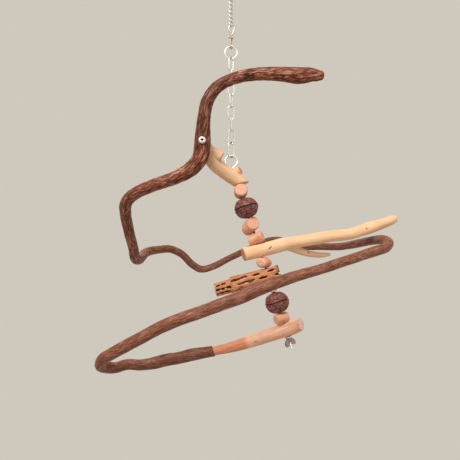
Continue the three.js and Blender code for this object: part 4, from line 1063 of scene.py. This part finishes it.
def cholla_slots(angles, along):
    """How far each point of the wall lies outside the nearest hole, as a share of the hole's size. The rows
    of holes climb round the stem like a screw, and are shorter beyond its joint."""
    length, width, pitch = CHOLLA_SLOT
    start, inset, climb = CHOLLA_START
    nearest = np.full(len(angles), 9.0)

    def hole(middle, turn, half_length, half_width):
        off_turn = half_turn(angles - turn) * CHOLLA_SKIN_RADIUS
        return np.minimum(nearest, np.hypot((along - middle) / half_length, off_turn / half_width) - 1)

    for row in range(CHOLLA_ROWS):
        turn = math.radians(start) + row / CHOLLA_ROWS * 2 * math.pi
        first = CHOLLA_OVERHANG - inset + (row - 1) * climb * pitch
        slim = row > 4
        for number in range(-9, 6):
            middle = first + number * pitch * (1 if number * pitch + first > CHOLLA_JOINT else 0.6)
            short = middle < CHOLLA_JOINT + 2
            if short:
                middle = CHOLLA_JOINT - 6 - (CHOLLA_JOINT - middle) * 0.55
            if not CHOLLA_LEFT < middle < CHOLLA_OVERHANG - 2:
                continue
            own = noise.noise(Vector((row * 3.1, number * 1.7, 0.4)))
            lean = 0.08 * noise.noise(Vector((row * 2.3, number * 0.9, 5.2)))
            middle += 1.5 * own
            nearest = hole(
                middle, turn + lean + 0.012 * (along - middle) * own,
                length * (0.5 + 0.12 * own) * (0.55 if short else 1) * (0.6 if slim else 1),
                width * (0.5 + 0.2 * own) * (0.75 if slim else 1))
    offset, angle, half_length, half_width = KNOT_HOLE
    return hole(CHOLLA_JOINT + offset, math.radians(angle), half_length, half_width)


finish(bead("top_bead"), peeled_branch, body="gym")
for number in range(1, 7):
    finish(bead(f"bead_{number}"), tumbled_cutting)
for node in WALNUTS:
    finish(walnut(node), walnut_shell, 80)
finish(cholla(), cholla_wood, 60)


# ---- sticks and vine

def forked_perch():
    """The long peeled perch with its side twig, sanded, with knots where shoots were trimmed."""
    place = PLACES["forked_perch"]
    routes = [
        Route(scaled(rows, (reach, reach, reach, PERCH_DIAMETER), place), 1.2)
        for rows, reach in ((PERCH_ROUTE, PERCH_REACH), (TWIG_ROUTE, TWIG_REACH))
    ]
    piece = join([tube("forked_perch_form", routes[0], 48, rounding=0.5), tube("twig", routes[1], 32)])
    remesh(piece, 0.62, 3)
    grow_relief(piece, routes, PERCH_MARKS, 0.12, 0.4, 61)
    bore(piece, place, PERCH_DIAMETER)
    wood_finish(piece, routes, PERCH_MARKS)
    return piece


def top_stick():
    """The forked stick behind the vine's bend: hollowed to fit the vine, bored for rod and screw."""
    trunk_depth = SCREW_PLACE[1] + (VINE_THICKNESS + TOP_STICK_DIAMETER) / 2
    scale = (SCREW_PLACE[0], trunk_depth, SCREW_PLACE[2] + TOP_STICK_END, TOP_STICK_DIAMETER)
    routes = [Route(scaled(rows, scale, TOP_STICK_END), 1) for rows in (TOP_STICK_ROUTE, TOP_STUB_ROUTE)]
    piece = join([tube("top_stick_form", routes[0], 48), tube("stub", routes[1], 32, rounding=0.5)])
    remesh(piece, 0.6, 6)
    saw(piece, Vector((0, 0, -TOP_STICK_END - FIT_GAP)), Vector((0, 0, -1)), 1.6, 4, clamp=True)
    remesh(piece, 0.5, 10)
    grow_relief(piece, routes, TOP_STICK_MARKS, 0.1, 0.25, 71)
    bed = VINE_ROWS[8:20] + (0, 0, 0, 2 * VINE_BED_GAP)
    cut(piece, tube("bed", Route(bed, 4), 32))
    bore(piece, 0, TOP_STICK_END + 5)
    cut(piece, screw_hole())
    wood_finish(piece, routes, TOP_STICK_MARKS)
    return piece


def screw_hole():
    x, _, z = SCREW_PLACE
    end = SCREW_SEAT + SCREW_LENGTH + FIT_GAP
    return bar("hole", (x, SCREW_SEAT - 5, z), (x, end, z), SCREW_DIAMETER + 2 * FIT_GAP)


def dowel_hole():
    reach = np.array((DOWEL_REACH + FIT_GAP, 0, 0))
    return bar("hole", JOINT - reach, JOINT + reach, DOWEL_DIAMETER + 2 * FIT_GAP)


def square_end(piece, trim, limit):
    """Trims the end of a stick square at the joint."""
    points = points_of(piece)
    near = lengths(points - JOINT) < DOWEL_REACH
    points[near, 0] = trim(points[near, 0], limit)
    set_points(piece, points)


def vine():
    """The long vine: its bark rubbed smooth, furrowed along its length, with scars of trimmed shoots."""
    way = (VINE_ROWS[-1] - VINE_ROWS[-2]) * (1, 1, 1, 0)
    route = Route([*VINE_ROWS, VINE_ROWS[-1] + 0.3 * way], 1.5)
    rises = []

    def bark(angles, along, radii):
        turned = angles + 0.35 * skin_wave(angles, along, 0.8, 15, 80) + 0.006 * along
        lumps = skin_wave(angles, along, 0.8, 30, 81) + 0.5 * skin_wave(angles, along, 1, 12, 82)
        ridges = skin_wave(turned, along, 4.6, 10, 83) + 0.6 * skin_wave(turned, along, 8, 5, 84)
        furrow = bell(skin_wave(turned, along, 3.8, 13, 85), 0.09)
        rough = 1 - 0.6 * smooth_step(190, 480, along)
        rises.append(np.clip(0.5 + 0.75 * ridges - 0.5 * furrow, 0, 1))
        height, _ = marks_field(angles, along, radii, **VINE_MARKS)
        return height + 0.03 * radii * lumps + rough * (0.42 * ridges - 0.45 * furrow)

    piece = tube("vine_form", route, VINE_SIDES, bark, rounding=2.2)
    caps = len(CAP_SHARES)
    attribute(piece, "rise", np.pad(rises[0], ((caps, caps), (0, 0)), mode="edge").ravel())
    square_end(piece, np.minimum, JOINT[0])
    x, _, z = SCREW_PLACE
    front, diameter = SCREW_SEAT - VINE_THICKNESS, SCREW_HEAD_DIAMETER + 2 * FIT_GAP
    cut(piece, bar("seat", (x, front, z), (x, SCREW_SEAT + SEAT_DEPTH, z), diameter, 48))
    cut(piece, screw_hole())
    cut(piece, dowel_hole())
    # The darkening along the vine, part of it painted shade, is stored with its marks
    wood_finish(piece, [route], VINE_MARKS, VINE_SHADES)
    return piece


def bottom_stick():
    """The peeled stick that carries on from the vine to the rod's lower end, sawn off at a slant."""
    scale = (JOINT[0], JOINT[1], JOINT[2] + STACK_DROP, BOTTOM_STICK_DIAMETER)
    rows = scaled(BOTTOM_STICK_ROUTE, scale, STACK_DROP)
    rows[-1, 3] = rows[-2, 3]
    way = rows[-1] - rows[-2]
    after = rows[-1] + 6 * way / lengths(way)
    route = Route([1.25 * rows[0] - 0.25 * rows[1], *rows, after], 0.8)

    def skin(angles, along, radii):
        lumps = 0.35 * skin_wave(angles, along, 1, 22, 91) + 0.1 * skin_wave(angles, along, 4, 34, 92)
        return lumps + marks_field(angles, along, radii, **BOTTOM_STICK_MARKS)[0]

    piece = tube("bottom_stick_form", route, 72, skin, rounding=0.9)
    square_end(piece, np.maximum, JOINT[0] + FIT_GAP)
    slant = (Vector(route.ways[-1]) + Vector((0.1, -0.75, 0))).normalized()
    sawn_at = Vector(rows[-1, :3]) - SAW_TRIM * slant
    saw(piece, sawn_at, slant, 0.7, 3, clamp=False)
    cut(piece, dowel_hole())
    bore(piece, STACK_DROP, BOTTOM_STICK_DIAMETER)
    along = wood_finish(piece, [route], BOTTOM_STICK_MARKS)
    at_end = points_of(piece) @ np.array(slant) > sawn_at.dot(slant) - 1.2
    attribute(piece, "cut", smooth_step(0.8, 0.97, normals_of(piece) @ np.array(slant)) * at_end)
    attribute(piece, "dull", 0.8 * smooth_step(50, 42, along))
    return piece


finish(forked_perch(), peeled_branch, 60)
finish(top_stick(), peeled_branch, 60, "gym")
finish(bottom_stick(), fresh_branch, 50, "gym")
finish(vine(), vine_bark, 70, "gym")


# ---- light, floor and camera

MIDDLE = (0.04, 0.03, -0.25)
LIGHTS = {
    "front_light": ((-0.6, -1.5, 1.3), 1, 50),
    "side_light": ((1.5, -0.7, 0.3), 1.2, 8),
    "back_light": ((-0.6, 1.5, 0.8), 1.2, 6),
}
for name, (place, size, power) in LIGHTS.items():
    light = bpy.data.lights.new(name, "AREA")
    light.energy, light.size = power, size
    lamp = new_object(name, light)
    lamp.location = place
    lamp.rotation_euler = (Vector(MIDDLE) - Vector(place)).to_track_quat("-Z", "Y").to_euler()

world = bpy.data.worlds.new("pale_surroundings")
bpy.context.scene.world = world
sky = Nodes(world)
rays = sky.add("LightPath", None, {})
seen = rays.outputs["Is Camera Ray"]
for ray in ("Is Glossy Ray", "Is Transmission Ray"):
    seen = sky.maths("MAXIMUM", seen, rays.outputs[ray])
fill = sky.add("Background", "Background", {"Color": "#E9E6E1", "Strength": 0.34})
backdrop = sky.add("Background", "Background", {"Color": "#CFC9BD"})
sky.add("OutputWorld", None, {"Surface": sky.add("MixShader", "Shader", {"Fac": seen, 1: fill, 2: backdrop})})

floor = primitive(bpy.ops.mesh.primitive_plane_add, "floor", size=1.2, location=(0, -0.05, -0.9))
floor_paint = Nodes(bpy.data.materials.new("pale_floor"))
matt = floor_paint.add("BsdfPrincipled", "BSDF", {"Base Color": "#DAD6CC", "Roughness": 0.9})
floor_paint.add("OutputMaterial", None, {"Surface": matt})
paint(floor, floor_paint.owner)

lens = bpy.data.cameras.new("camera")
lens.lens = lens.sensor_width = 36
camera = new_object("camera", lens)
camera.location = (-0.0013, -0.6, -0.32158)
camera.rotation_euler = (math.pi / 2, 0, 0)
bpy.context.scene.camera = camera

bpy.context.scene.view_settings.view_transform = "Standard"
